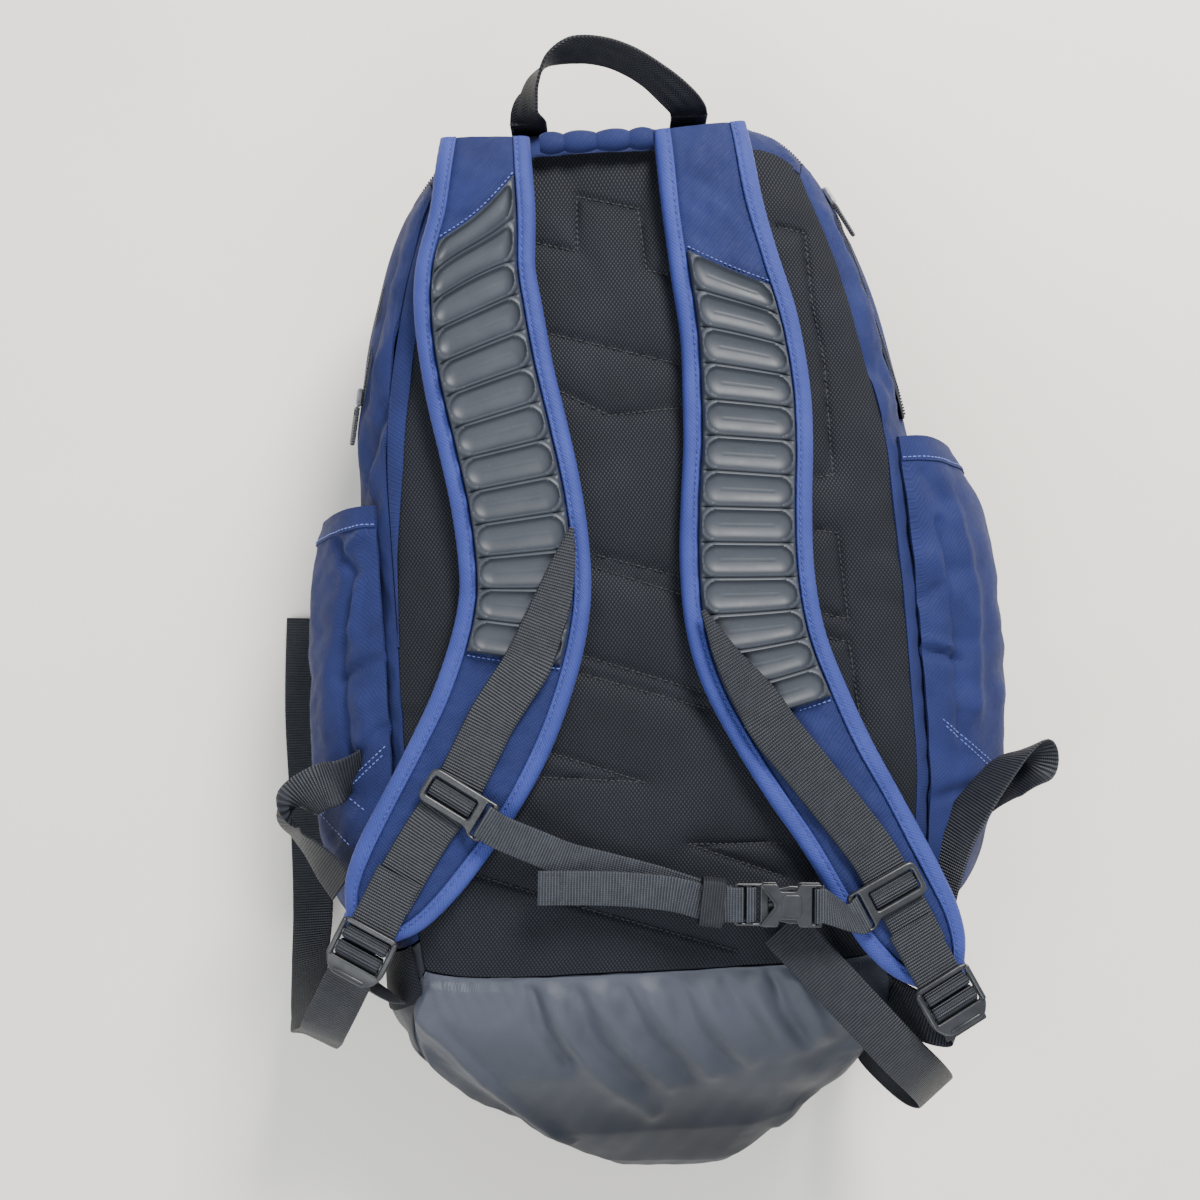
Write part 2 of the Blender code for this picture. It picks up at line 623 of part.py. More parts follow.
# Main zip
outer = zip_path(12, -1.6, 0.56, 0.36)
low = zip_path(12, -0.4, 0.56, 0.36)
outer_b = zip_path(12, -1.6, 0.46, 0.36)
low_b = zip_path(12, -0.4, 0.46, 0.36)
slab("main_zip_tape", [outer, outer_b], [low, low_b], web_look)
for word, sign, along in (("right", 1, 225.0), ("left", -1, 118.0)):
    b = along / TOP_REACH
    spot = Vector(bag_point(float(sign), b, 0.51, -1.9))
    ahead = Vector(bag_point(float(sign), b + 0.02, 0.51, -1.9))
    way = (ahead - spot).normalized()
    face = Vector((float(sign), 0.0, 0.35)).normalized()
    cross = way.cross(face).normalized()
    where = placed(spot + face * 2.6, cross, way)
    block(word + "_zip_slider", where, (8.0, 10.0, 3.2), steel, 0.8)
    hinge = where @ Matrix.Translation((0, -6.6, 0))
    outline = [(-3.4, 1.2), (3.4, 1.2), (3.4, -16.0), (2.2, -20.0), (-2.2, -20.0), (-3.4, -16.0)]
    plate(word + "_zip_pull", outline, [rounded(1.7, 1.4, 0.5, 2, (0, -1.8))], -1.0, 1.0, hinge, web_look)

# Harness
for word, table, span, slant, rail_table in (
    ("left", LEFT_STRAP, LEFT_PODS, LEFT_SLANT, LEFT_RAIL),
    ("right", RIGHT_STRAP, RIGHT_PODS, RIGHT_SLANT, RIGHT_RAIL),
):
    strap_part(word + "_strap_foam", table, 0.0, STRAP_FOAM, navy)
    strap_binding(word + "_strap_binding", table, tape)
    strap_pods(word + "_strap_pods", table, span, slant, pod_look)
    rail(word + "_rail", rail_table, web_look)


def on_rail(spot, up_way, lift):
    """The frame of a fitting on a strap: X across the strap to the right, Y up it, Z away from it."""
    x, y = spot
    ahead = strap_top(x + up_way[0] * 5, y + up_way[1] * 5)
    here = strap_top(x, y)
    up = Vector((up_way[0] * 5, up_way[1] * 5, ahead - here))
    right = Vector((up_way[1], -up_way[0], 0.0))
    right.z = strap_top(x + right.x * 5, y + right.y * 5) / 5 - here / 5
    return placed((x, y, here + lift), right, up)


left_at = on_rail(LEFT_SLIDER, LEFT_SLIDER_UP, 3.3)
right_at = on_rail(RIGHT_SLIDER, RIGHT_SLIDER_UP, 3.3)
mirror = Matrix.Diagonal((-1, 1, 1, 1))
slider("left_slider", left_at, plastic)
slider("right_slider", right_at @ mirror, plastic)
for word, where in (("left", left_at), ("right", right_at)):
    hump = [(0, -4.4, 1.7), (0, -2.2, 2.6), (0, 0, 2.9), (0, 2.2, 2.6), (0, 4.4, 1.7)]
    ribbon(word + "_slider_wrap", [where @ Vector(p) for p in hump], where.to_3x3() @ Vector((1, 0, 0)),
           WEBBING, 0.9, web_look)

left_lock_at = on_rail(LEFT_LOCK, LEFT_LOCK_UP, 6.2)
right_lock_at = on_rail(RIGHT_LOCK, RIGHT_LOCK_UP, 6.2)
for word, where in (("left", left_lock_at), ("right", right_lock_at)):
    ladder_lock(word + "_ladder_lock", where, plastic)
    lock_loop(word + "_lock_loop", where, web_look)


def through_lock(where):
    """The adjuster's way round a ladder lock's lower bar."""
    local = [(0, -21, -12.0), (0, -14, -6.6), (0, -9, -4.8), (0, -3.4, -4.6), (0, -0.9, -3.8), (0, 0.0, -1.8),
             (0, 0.0, 0.6), (0, -1.2, 2.4), (0, -3.1, 3.0), (0, -5.4, 2.4), (0, -6.9, 0.4), (0, -7.9, -1.6),
             (0, -10.5, -2.4), (0, -16, -2.7), (0, -21, -4.6)]
    return [where @ Vector(p) for p in local]


side_left = left_lock_at.to_3x3() @ Vector((1, 0, 0))
around = through_lock(left_lock_at)
lead = [Vector((-146, -208, 140)), Vector((-154, -203, 154))]
tail = [Vector(p) for p in ((-180, -222, 154), (-187, -233, 130), (-196, -240, 98), (-205, -232, 62),
                            (-209, -212, 30), (-209, -180, 10), (-209, -120, 3.6), (-209, -60, 3.6),
                            (-205, -2, 3.6))]
ways = [side_left] * (len(lead) + len(around))
ways += [Vector(p) for p in ((0.94, -0.34, 0.0), (0.9, -0.3, 0.3), (0.7, -0.2, 0.65), (0.75, 0.1, 0.6),
                             (0.95, 0.15, 0.3), (1, 0, 0), (1, 0, 0), (1, 0, 0), (1, 0, 0))]
ribbon("left_adjuster", lead + around + tail, ways, WEBBING, WEB_THICK, web_look)

side_right = right_lock_at.to_3x3() @ Vector((1, 0, 0))
around = through_lock(right_lock_at)
lead = [Vector((122, -222, 148)), Vector((132, -228, 152.5)), Vector((146, -234, 158))]
ways = [Vector((0.35, 0.9, 0)), Vector((0.5, 0.9, 0.1)), Vector((0.75, 0.7, 0.1))] + [side_right] * len(around)
ribbon("right_adjuster", lead + around, ways, WEBBING, WEB_THICK, web_look)
hem_to_lock = [(66, -176, 177), (82, -195, 178), (98, -214, 177), (113, -232, 174), (128, -250, 168),
               (140, -264, 158), (149, -277, 138), (151, -284, 120), (146, -286, 100), (138, -282, 78),
               (130, -275, 55), (128, -268, 35)]
along = Vector((0.64, -0.77, 0.0))
across = Vector((0.77, 0.64, 0.0))
ribbon("right_adjuster_tail", spline(hem_to_lock, 24), across, WEBBING, WEB_THICK, web_look)

# Compression straps
loop = [(-166, -90, 154), (-178, -94, 152), (-190, -101, 148), (-196, -110, 144), (-192, -119, 142),
        (-184, -128, 142), (-176, -138, 144), (-168, -148, 148)]
ribbon("left_compression_strap", spline(loop, 16), Vector((0.25, 0.35, 0.9)), WEBBING, WEB_THICK, web_look)
loop = [(170, -168, 150), (164, -150, 156), (168, -132, 158), (182, -112, 157), (198, -95, 153), (210, -92, 147),
        (211, -103, 141), (198, -116, 142), (184, -126, 145)]
ribbon("right_compression_strap", spline(loop, 16), Vector((0.75, 0.35, 0.55)), WEBBING, WEB_THICK, web_look)

# Sternum strap
left_bar = left_at @ Vector((SIDE_BAR, -1.8, 2.3))
right_bar = right_at @ Vector((-SIDE_BAR, -1.8, 2.3))
left_way = left_at.to_3x3() @ Vector((0, 1, 0))
right_way = right_at.to_3x3() @ Vector((0, 1, 0))
out_left = left_at.to_3x3() @ Vector((1, 0, 0))
norm_left = left_at.to_3x3() @ Vector((0, 0, 1))


def round_bar(bar, out, norm, radius):
    """Half a turn of webbing round a bar, from under it to over it."""
    turns = (250, 215, 180, 145, 110)
    return [bar + out * (radius * math.cos(math.radians(t))) + norm * (radius * math.sin(math.radians(t)))
            for t in turns]


buckle_way = Vector((1.0, -0.06, 0.0)).normalized()
start = Vector((BUCKLE_START[0], BUCKLE_START[1], BUCKLE_Z))
buckle_at = placed(start, buckle_way, Vector((0, 1, 0)))
loop = round_bar(left_bar, out_left, norm_left, 2.9)
span = [left_bar + out_left * 9 + norm_left * 2.2, Vector((-60, -126, 189)), Vector((-44, -134, 184.5)),
        Vector((-24, -140.5, 182)), Vector((0, -148, 183)), Vector((18, -154, 187.5)), Vector((30, -158, 190.4)),
        buckle_at @ Vector((-1.5, 0, -3.0)), buckle_at @ Vector((8.6, 0, -3.2)), buckle_at @ Vector((10.6, 0, -2.0)),
        buckle_at @ Vector((11.2, 0, 0.3)), buckle_at @ Vector((9.8, 0, 2.4)), buckle_at @ Vector((6.6, 0, 2.7))]
across = Vector((0.06, 1, 0))
ways = [left_way] * len(loop) + [left_way, Vector((0.30, 1, 0)), Vector((0.33, 1, 0)), Vector((0.3, 1, 0)),
                                 Vector((0.28, 1, 0)), Vector((0.2, 1, 0)), Vector((0.1, 1, 0))] + [across] * 6
ribbon("sternum_webbing", loop + span, ways, STERNUM, WEB_THICK, web_look)
fold = [buckle_at @ Vector((4.8, 0, 2.8)), buckle_at @ Vector((-2.0, 0, 2.9)), Vector((28, -158.5, 195.6)),
        Vector((10, -153.5, 191.8)), Vector((-12, -150.5, 188.4)), Vector((-34, -148.4, 189.0)),
        Vector((-60, -146.5, 192.4))]
ribbon("sternum_tail", spline([tuple(p) for p in fold], 12), Vector((0.12, 1, 0)), STERNUM, WEB_THICK, web_look)
keeper_at = placed(Vector((29.0, -158.0, 193.0)), Vector((1, -0.16, 0.0)), Vector((0, 1, 0)))
ring_out = rounded(12.2, 6.6, 1.8, 2)
ring_in = [rounded(10.8, 5.2, 1.0, 2)]
turned = keeper_at @ Matrix(((0, 0, 1, 0), (1, 0, 0, 0), (0, 1, 0, 0), (0, 0, 0, 1)))
plate("elastic_keeper", ring_out, ring_in, -6.0, 6.0, turned, web_look, 0.2)

# Side-release buckle: plug, two spring arms and socket
half = BUCKLE_WIDE / 2
plug_ring = plate("plug_ring", [(0, half), (18, half), (18, -half), (0, -half)],
                  [rounded(2.2, 9.4, 0.6, 2, (4.4, 0)), rounded(2.2, 9.4, 0.6, 2, (11.4, 0))],
                  -1.6, 1.6, buckle_at, plastic)
tongue = block("plug_tongue", buckle_at @ Matrix.Translation((25.0, 0, 0)), (16.0, 2.6, 2.4), plastic, 0.3)
joined("buckle_plug", [plug_ring, tongue], plastic)
for word, sign in (("upper", 1), ("lower", -1)):
    arm = [(18.5, 5.4), (22.0, 5.4), (30.0, 7.4), (33.5, 5.0), (35.4, 5.0), (33.6, 9.6), (29.0, 9.9), (24.0, 8.6),
           (18.5, 8.6)]
    outline = [(x, y * sign) for x, y in arm]
    plate("release_arm_" + word, outline, [], -1.5, 1.5, buckle_at, plastic, 0.3)
upper_side = [(20.5, 0.9), (13.0, 10.2), (14.6, half), (22.5, half), (23.5, 7.2), (32.0, 7.2), (33.5, half),
              (44.5, half), (45.2, half - 0.8)]
top_shape = upper_side + [(x, -y) for x, y in reversed(upper_side)]
lid = plate("lid", top_shape, [rounded(1.7, 9.4, 0.6, 2, (41.6, 0))], 2.1, 4.4, buckle_at, plastic)
floor_plate = plate("floor_plate", top_shape, [rounded(1.7, 9.4, 0.6, 2, (41.6, 0))], -4.4, -2.1, buckle_at, plastic)
back_wall = block("back_wall", buckle_at @ Matrix.Translation((37.9, 0, 0)), (2.2, 20.0, 6.0), plastic, 0.2)
joined("buckle_socket", [lid, floor_plate, back_wall], plastic)
link_bar = buckle_at @ Vector((44.0, 0, 0))
in_right = right_at.to_3x3() @ Vector((-1, 0, 0))
norm_right = right_at.to_3x3() @ Vector((0, 0, 1))
loop_a = [buckle_at @ Vector(p) for p in ((47.4, 0, -6.0), (43.5, 0, -6.2), (41.8, 0, -4.4), (41.4, 0, 0.0),
                                          (41.8, 0, 4.4), (43.5, 0, 6.0), (47.0, 0, 5.4))]
loop_b = [right_bar + in_right * 6 + norm_right * 5.0] + list(reversed(round_bar(right_bar, in_right, norm_right, 3.3)))
ways = [buckle_at.to_3x3() @ Vector((0, 1, 0))] * len(loop_a) + [Vector((0.1, 1, 0))] + [right_way] * 5
ribbon("sternum_link", loop_a + loop_b, ways, STERNUM, 1.1, web_look)

# Grab handle
arch = [(-46, 258.4, 146), (-46, 259.6, 156), (-46, 264, 166), (-43, 276, 174), (-34, 289, 179), (-18, 296, 181),
        (0, 296, 181), (16, 290, 180), (30, 279, 177), (39, 267, 168), (41, 260.4, 157), (41, 258.6, 147)]
arch_ways = [(1, 0, 0), (1, 0, 0), (1, 0.1, 0.2), (0.6, 0.1, 0.8), (0.3, 0.3, 0.9), (0.1, 0.5, 0.86), (0, 0.6, 0.8),
             (0.2, 0.6, 0.8), (0.5, 0.4, 0.8), (0.9, 0.2, 0.4), (1, 0, 0), (1, 0, 0)]
ribbon("grab_handle", arch, arch_ways, 20.0, 2.0, web_look)

# Solar kit on the hidden front, and what it feeds
flat = Matrix.Identity(4)
windows = [rounded(84, 81.2, 6, 3, (0, 89.8)), rounded(84, 80.8, 6, 3, (0, -90.2))]
plate("solar_frame", rounded(98, 185, 14, 4), windows, 0.0, 3.0, flat, web_look, 0.3)
plate("solar_laminate_upper", rounded(83.6, 80.8, 5.6, 3, (0, 89.8)), [], 0.9, 2.4, flat, cell_look, 0.2)
plate("solar_laminate_lower", rounded(83.6, 80.4, 5.6, 3, (0, -90.2)), [], 0.9, 2.4, flat, cell_look, 0.2)
block("junction_box", Matrix.Translation((0, 118, 13.0)), (52, 24, 10), plastic, 1.5)
block("power_bank", Matrix.Translation((60, 40, 16.4)), (68, 120, 17), plastic, 3.0)
lead = [(0, 105.6, 13), (0, 96, 13), (4, 84, 14), (14, 76, 16), (25.6, 76, 16.4)]
tube("charge_lead", spline(lead, 14), 1.7, web_look, 8)

# USB outlet with a hinged cover, low on the right side
b = 130 / TOP_REACH
spot = Vector(bag_point(1.0, b, -0.30, -3.2))
ahead = Vector(bag_point(1.0, b + 0.03, -0.30, -3.2))
way = (ahead - spot).normalized()
face = Vector((1.0, 0.0, -0.18)).normalized()
usb_at = placed(spot, way, face.cross(way))
plate("usb_port", rounded(16, 10, 3, 3), [rounded(6.6, 3.2, 0.6, 2)], -2.4, 2.0, usb_at, plastic)
block("usb_cover", usb_at @ Matrix.Translation((0, 0, 3.7)), (30, 18, 2.4), plastic, 0.7)
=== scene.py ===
"""Looks of the solar backpack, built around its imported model.

Lengths are in millimetres until a mesh is made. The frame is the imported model's: +Z up from the floor,
+Y towards the grab handle, and the origin in the middle of the solar frame's underside.
"""

import math

import bpy
import numpy as np
from mathutils import Matrix, Vector
from mathutils.bvhtree import BVHTree


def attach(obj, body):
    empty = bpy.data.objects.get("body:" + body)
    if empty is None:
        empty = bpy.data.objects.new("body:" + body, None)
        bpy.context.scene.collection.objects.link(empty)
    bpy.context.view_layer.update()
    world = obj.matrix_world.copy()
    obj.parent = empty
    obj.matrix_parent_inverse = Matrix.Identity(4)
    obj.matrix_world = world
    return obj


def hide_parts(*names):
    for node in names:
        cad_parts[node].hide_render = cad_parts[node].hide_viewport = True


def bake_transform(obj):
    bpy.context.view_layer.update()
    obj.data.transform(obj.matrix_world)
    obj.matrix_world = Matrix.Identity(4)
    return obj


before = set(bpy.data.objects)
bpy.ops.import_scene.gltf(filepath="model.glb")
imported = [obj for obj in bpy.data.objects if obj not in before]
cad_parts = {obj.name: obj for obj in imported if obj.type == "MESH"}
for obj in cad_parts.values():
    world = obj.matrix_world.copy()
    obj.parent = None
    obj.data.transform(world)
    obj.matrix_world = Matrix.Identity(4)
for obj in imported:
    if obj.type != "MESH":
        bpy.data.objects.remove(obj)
for leftover in ("Cube", "Light", "Camera"):
    if leftover in bpy.data.objects:
        bpy.data.objects.remove(bpy.data.objects[leftover])
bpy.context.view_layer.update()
scene = bpy.context.scene
MM = 0.001
# Name of the UV map that the weaves are laid on
WEAVE = "weave"

# ---------------------------------------------------------------- camera, light and floor

CAMERA_AT = (-0.0205, 0.0, 1.05)
CAMERA_ROLL = math.radians(-2.93)

camera_data = bpy.data.cameras.new("camera")
camera_data.lens = 50.0
camera_data.sensor_width = 36.0
camera = bpy.data.objects.new("camera", camera_data)
camera.matrix_world = Matrix.Translation(CAMERA_AT) @ Matrix.Rotation(CAMERA_ROLL, 4, "Z")
scene.collection.objects.link(camera)
scene.camera = camera


def area_light(name, spot, target, size, watts, colour):
    """A soft square light at spot, turned towards target."""
    data = bpy.data.lights.new(name, "AREA")
    data.shape = "SQUARE"
    data.size = size
    data.energy = watts
    data.color = colour
    lamp = bpy.data.objects.new(name, data)
    lamp.location = spot
    lamp.rotation_euler = (Vector(target) - Vector(spot)).to_track_quat("-Z", "Y").to_euler()
    scene.collection.objects.link(lamp)


# Name, place, target, size in metres, watts, colour
LIGHTS = [
    ("key", (0.62, 1.25, 1.45), (0.0, 0.0, 0.1), 0.6, 82.0, (1.0, 0.985, 0.96)),
    ("fill", (-1.3, -0.9, 1.3), (0.0, 0.0, 0.1), 1.4, 16.0, (0.9, 0.95, 1.0)),
    ("window", (0.2, -1.25, 1.45), (0.0, -0.25, 0.12), 0.7, 13.0, (0.93, 0.96, 1.0)),
    ("glare", (-0.77, -0.52, 1.93), (-0.12, -0.13, 0.18), 0.6, 6.5, (0.95, 0.97, 1.0)),
]
for settings in LIGHTS:
    area_light(*settings)

world = bpy.data.worlds.new("studio")
world.use_nodes = True
sky = world.node_tree.nodes["Background"]
sky.inputs["Color"].default_value = (0.86, 0.92, 1.0, 1.0)
sky.inputs["Strength"].default_value = 0.78
scene.world = world


# ---------------------------------------------------------------- materials

# Places of the colour sockets of a Mix node
MIX_DARK, MIX_LIGHT, MIX_COLOUR = 6, 7, 2


class Look:
    """One material and shorthand for its nodes."""

    def __init__(self, name, colour, rough, **settings):
        self.made = bpy.data.materials.new(name)
        self.made.use_nodes = True
        self.tree = self.made.node_tree
        self.shader = self.tree.nodes["Principled BSDF"]
        self.feed(self.shader.inputs["Base Color"], colour)
        self.feed(self.shader.inputs["Roughness"], rough)
        for key, value in settings.items():
            self.feed(self.shader.inputs[key.replace("_", " ")], value)

    def feed(self, socket, value):
        if isinstance(value, bpy.types.NodeSocket):
            self.tree.links.new(value, socket)
        elif isinstance(value, tuple) and len(value) == 3 and socket.type == "RGBA":
            socket.default_value = value + (1.0,)
        else:
            socket.default_value = value

    def node(self, kind, inputs=(), **settings):
        made = self.tree.nodes.new("ShaderNode" + kind)
        for key, value in settings.items():
            setattr(made, key, value)
        for key, value in dict(inputs).items():
            self.feed(made.inputs[key], value)
        return made

    def maths(self, operation, *values):
        made = self.node("Math", operation=operation)
        for socket, value in zip(made.inputs, values):
            self.feed(socket, value)
        return made.outputs[0]

    def place(self):
        """Lengths across and along the cloth, in metres, and both as one vector."""
        found = self.node("UVMap", uv_map=WEAVE)
        split = self.node("SeparateXYZ", {"Vector": found.outputs["UV"]})
        return split.outputs["X"], split.outputs["Y"], found.outputs["UV"]

    def wave(self, value, pitch, shift=0.0):
        """A sine between -1 and 1 that repeats every pitch metres."""
        turned = self.maths("MULTIPLY_ADD", value, 2 * math.pi / pitch, shift)
        return self.maths("SINE", turned)

    def noise(self, vector, scale, detail=2.0, rough=0.5):
        inputs = {"Vector": vector, "Scale": scale, "Detail": detail, "Roughness": rough}
        return self.node("TexNoise", inputs).outputs["Fac"]

    def ramp(self, value, low, high, start=0.0, end=1.0):
        """value's range low to high, turned into start to end."""
        inputs = {"Value": value, "From Min": low, "From Max": high, "To Min": start, "To Max": end}
        return self.node("MapRange", inputs).outputs["Result"]

    def tint(self, factor, dark, light):
        """A colour from dark at 0 to light at 1."""
        made = self.node("Mix", data_type="RGBA")
        self.feed(made.inputs["Factor"], factor)
        self.feed(made.inputs[MIX_DARK], dark)
        self.feed(made.inputs[MIX_LIGHT], light)
        return made.outputs[MIX_COLOUR]

    def colour(self, value):
        self.feed(self.shader.inputs["Base Color"], value)

    def bump(self, height, distance, strength=1.0):
        made = self.node("Bump", {"Height": height, "Distance": distance, "Strength": strength})
        self.feed(self.shader.inputs["Normal"], made.outputs["Normal"])

    def rough(self, value):
        self.feed(self.shader.inputs["Roughness"], value)


def woven(name, dark, light, pitch, rough, sheen, depth=0.00012):
    """Plain-woven cloth with threads pitch metres apart, slightly mottled."""
    look = Look(name, dark, rough, Sheen_Weight=sheen, Sheen_Roughness=0.5, Specular_IOR_Level=0.22)
    u, v, both = look.place()
    cross = look.maths("MULTIPLY", look.wave(u, pitch), look.wave(v, pitch))
    twill = look.wave(look.maths("ADD", u, v), pitch * 1.6)
    height = look.maths("ADD", look.maths("MULTIPLY", cross, 0.7), look.maths("MULTIPLY", twill, 0.3))
    cloud = look.ramp(look.noise(both, 34.0, 3.0), 0.3, 0.7, -0.16, 0.16)
    shade = look.maths("ADD", look.ramp(height, -1.0, 1.0, 0.12, 0.72), cloud)
    look.colour(look.tint(shade, dark, light))
    look.rough(look.ramp(look.noise(both, 300.0), 0.3, 0.7, rough - 0.06, rough + 0.06))
    look.bump(height, depth)
    return look.made


def ribbed(name, dark, light, pitch, rough, chevron=0.0, depth=0.0003):
    """Webbing with ribs across its width. chevron slants them into a herringbone."""
    look = Look(name, dark, rough, Specular_IOR_Level=0.3)
    u, v, both = look.place()
    if chevron:
        zig = look.node("Math", operation="PINGPONG")
        look.feed(zig.inputs[0], u)
        look.feed(zig.inputs[1], chevron)
        v = look.maths("ADD", v, zig.outputs[0])
    rib = look.wave(v, pitch)
    thread = look.wave(u, 0.0011)
    height = look.maths("ADD", look.maths("MULTIPLY", rib, 0.8), look.maths("MULTIPLY", thread, 0.2))
    dust = look.ramp(look.noise(both, 130.0, 4.0, 0.7), 0.35, 0.7, -0.1, 0.18)
    shade = look.maths("ADD", look.ramp(height, -0.9, 0.9, 0.0, 0.85), dust)
    look.colour(look.tint(shade, dark, light))
    look.bump(height, depth)
    return look.made


def knitted(name, dark, light, pitch):
    """Spacer mesh: a staggered lattice of raised loops over dark holes."""
    look = Look(name, dark, 0.7, Specular_IOR_Level=0.2)
    u, v, both = look.place()
    lean = look.maths("MULTIPLY", v, 1.35)
    slant = look.wave(look.maths("ADD", u, lean), pitch * 2)
    counter = look.wave(look.maths("SUBTRACT", u, lean), pitch * 2)
    loops = look.maths("ABSOLUTE", look.maths("MULTIPLY", slant, counter))
    cloud = look.ramp(look.noise(both, 22.0, 3.0), 0.3, 0.7, 0.6, 1.0)
    shade = look.maths("MULTIPLY", look.ramp(loops, 0.1, 0.95, 0.1, 1.0), cloud)
    look.colour(look.tint(shade, dark, light))
    look.rough(look.ramp(loops, 0.0, 1.0, 0.85, 0.55))
    look.bump(loops, 0.00025)
    return look.made


def coated(name, dark, light, painted_sheen_span=None):
    """Coated nylon, satin and finely grained. Between the two lengths given last, its colour lightens into a
    painted sheen and its specular level rises.
    """
    look = Look(name, dark, 0.4, Specular_IOR_Level=0.34)
    u, v, both = look.place()
    grain = look.noise(both, 1500.0, 2.0)
    weave = look.maths("MULTIPLY", look.wave(u, 0.0012), look.wave(v, 0.0012))
    cloud = look.ramp(look.noise(both, 14.0, 4.0, 0.6), 0.3, 0.7, 0.0, 0.3)
    # Painted sheen: across the given span the colour lightens, and without a span it is a fixed middle shade
    shade = look.maths("ADD", cloud, look.ramp(u, *painted_sheen_span, 0.0, 0.7) if painted_sheen_span else 0.35)
    look.colour(look.tint(shade, dark, light))
    if painted_sheen_span:
        # Over the same span the specular level rises along with the painted sheen
        look.feed(look.shader.inputs["Specular IOR Level"], look.ramp(u, *painted_sheen_span, 0.10, 0.5))
    look.rough(look.ramp(look.noise(both, 60.0, 4.0), 0.3, 0.7, 0.40, 0.47))
    fine = look.maths("ADD", look.maths("MULTIPLY", grain, 0.6), look.maths("MULTIPLY", weave, 0.7))
    look.bump(fine, 0.00010)
    return look.made


def foam_skin(name, dark, light):
    """Moulded foam: smooth and satin with fine pores and faint scuffs."""
    look = Look(name, dark, 0.52, Specular_IOR_Level=0.42)
    both = look.place()[2]
    cloud = look.noise(both, 40.0, 4.0, 0.6)
    scuff = look.ramp(look.noise(both, 420.0, 2.0), 0.62, 0.8)
    look.colour(look.tint(look.maths("ADD", look.ramp(cloud, 0.3, 0.7, 0.1, 0.7), scuff), dark, light))
    look.rough(look.ramp(cloud, 0.3, 0.7, 0.46, 0.6))
    look.bump(look.noise(both, 2600.0, 1.0), 0.00004)
    return look.made


def solid_look(name, dark, light, rough, grain, **settings):
    """A moulded or metal finish with faint colour drift, grain and worn patches."""
    look = Look(name, dark, rough, **settings)
    spot = look.node("TexCoord").outputs["Object"]
    cloud = look.noise(spot, 90.0, 3.0)
    look.colour(look.tint(look.ramp(cloud, 0.35, 0.75), dark, light))
    look.rough(look.ramp(look.noise(spot, 260.0, 4.0, 0.7), 0.3, 0.75, rough - 0.05, rough + 0.12))
    look.bump(look.noise(spot, 1900.0, 2.0), grain)
    return look.made


def thread(name, dark, light):
    """Twisted sewing thread."""
    look = Look(name, dark, 0.6, Sheen_Weight=0.15)
    spot = look.node("TexCoord").outputs["Object"]
    twist = look.noise(spot, 900.0, 2.0)
    look.colour(look.tint(look.ramp(twist, 0.35, 0.65), dark, light))
    look.bump(twist, 0.0001)
    return look.made


def solar(name):
    """Cells in a grid, crossed by thin bright conductors, under a glossy film."""
    look = Look(name, (0.01, 0.014, 0.04), 0.18, Coat_Weight=0.6, Coat_Roughness=0.08)
    spot = look.node("TexCoord").outputs["Object"]
    split = look.node("SeparateXYZ", {"Vector": spot})
    x, y = split.outputs["X"], split.outputs["Y"]
    edge_x = look.maths("GREATER_THAN", look.wave(x, 0.0415, 1.5), 0.985)
    edge_y = look.maths("GREATER_THAN", look.wave(y, 0.0405, 0.4), 0.985)
    bus = look.maths("GREATER_THAN", look.wave(x, 0.0138, 0.7), 0.975)
    finger = look.maths("GREATER_THAN", look.wave(y, 0.0019), 0.96)
    lines = look.maths("MAXIMUM", bus, look.maths("MULTIPLY", finger, 0.35))
    crystal = look.node("TexVoronoi", {"Vector": spot, "Scale": 160.0}).outputs["Distance"]
    cell = look.tint(look.ramp(crystal, 0.0, 0.6), (0.012, 0.018, 0.06), (0.03, 0.05, 0.13))
    wired = look.tint(lines, cell, (0.45, 0.45, 0.47))
    look.colour(look.tint(look.maths("MAXIMUM", edge_x, edge_y), wired, (0.012, 0.012, 0.014)))
    look.bump(lines, 0.00008)
    return look.made


navy = woven("navy_cloth", (0.0042, 0.0072, 0.038), (0.0165, 0.0262, 0.122), 0.0015, 0.72, 0.02)
tape = woven("binding_tape", (0.015, 0.023, 0.125), (0.044, 0.064, 0.28), 0.0013, 0.6, 0.03)
knit = knitted("spacer_mesh", (0.0012, 0.0014, 0.0021), (0.0185, 0.0215, 0.0305), 0.0027)
# The lower end's back has a painted sheen: its colour lightens towards its seam, from 25 to 125 mm up its weave
boot_look = coated("coated_cloth", (0.008, 0.010, 0.015), (0.040, 0.046, 0.064), (0.025, 0.125))
boot_side_look = coated("coated_side_cloth", (0.014, 0.016, 0.021), (0.028, 0.032, 0.042))
pod_look = foam_skin("foam_skin", (0.026, 0.030, 0.038), (0.040, 0.045, 0.056))
web_look = ribbed("webbing", (0.0045, 0.005, 0.0065), (0.027, 0.030, 0.038), 0.0016, 0.48)
fine_web = ribbed("webbing_fine", (0.010, 0.011, 0.014), (0.054, 0.059, 0.071), 0.0015, 0.5)
handle_look = ribbed("handle_webbing", (0.003, 0.003, 0.004), (0.028, 0.029, 0.034), 0.0018, 0.55, 0.0032)
elastic = ribbed("elastic", (0.006, 0.006, 0.008), (0.026, 0.028, 0.034), 0.0014, 0.7)
plastic = solid_look("moulded_plastic", (0.011, 0.0115, 0.013), (0.023, 0.024, 0.027), 0.33, 0.00002)
grey_plastic = solid_look("grey_sheet", (0.45, 0.46, 0.47), (0.56, 0.57, 0.58), 0.5, 0.00002)
steel = solid_look("zip_metal", (0.32, 0.32, 0.34), (0.5, 0.5, 0.52), 0.3, 0.00002, Metallic=1.0)
blue_thread = thread("blue_thread", (0.006, 0.011, 0.085), (0.03, 0.05, 0.26))
pale_thread = thread("pale_thread", (0.05, 0.075, 0.30), (0.13, 0.18, 0.5))
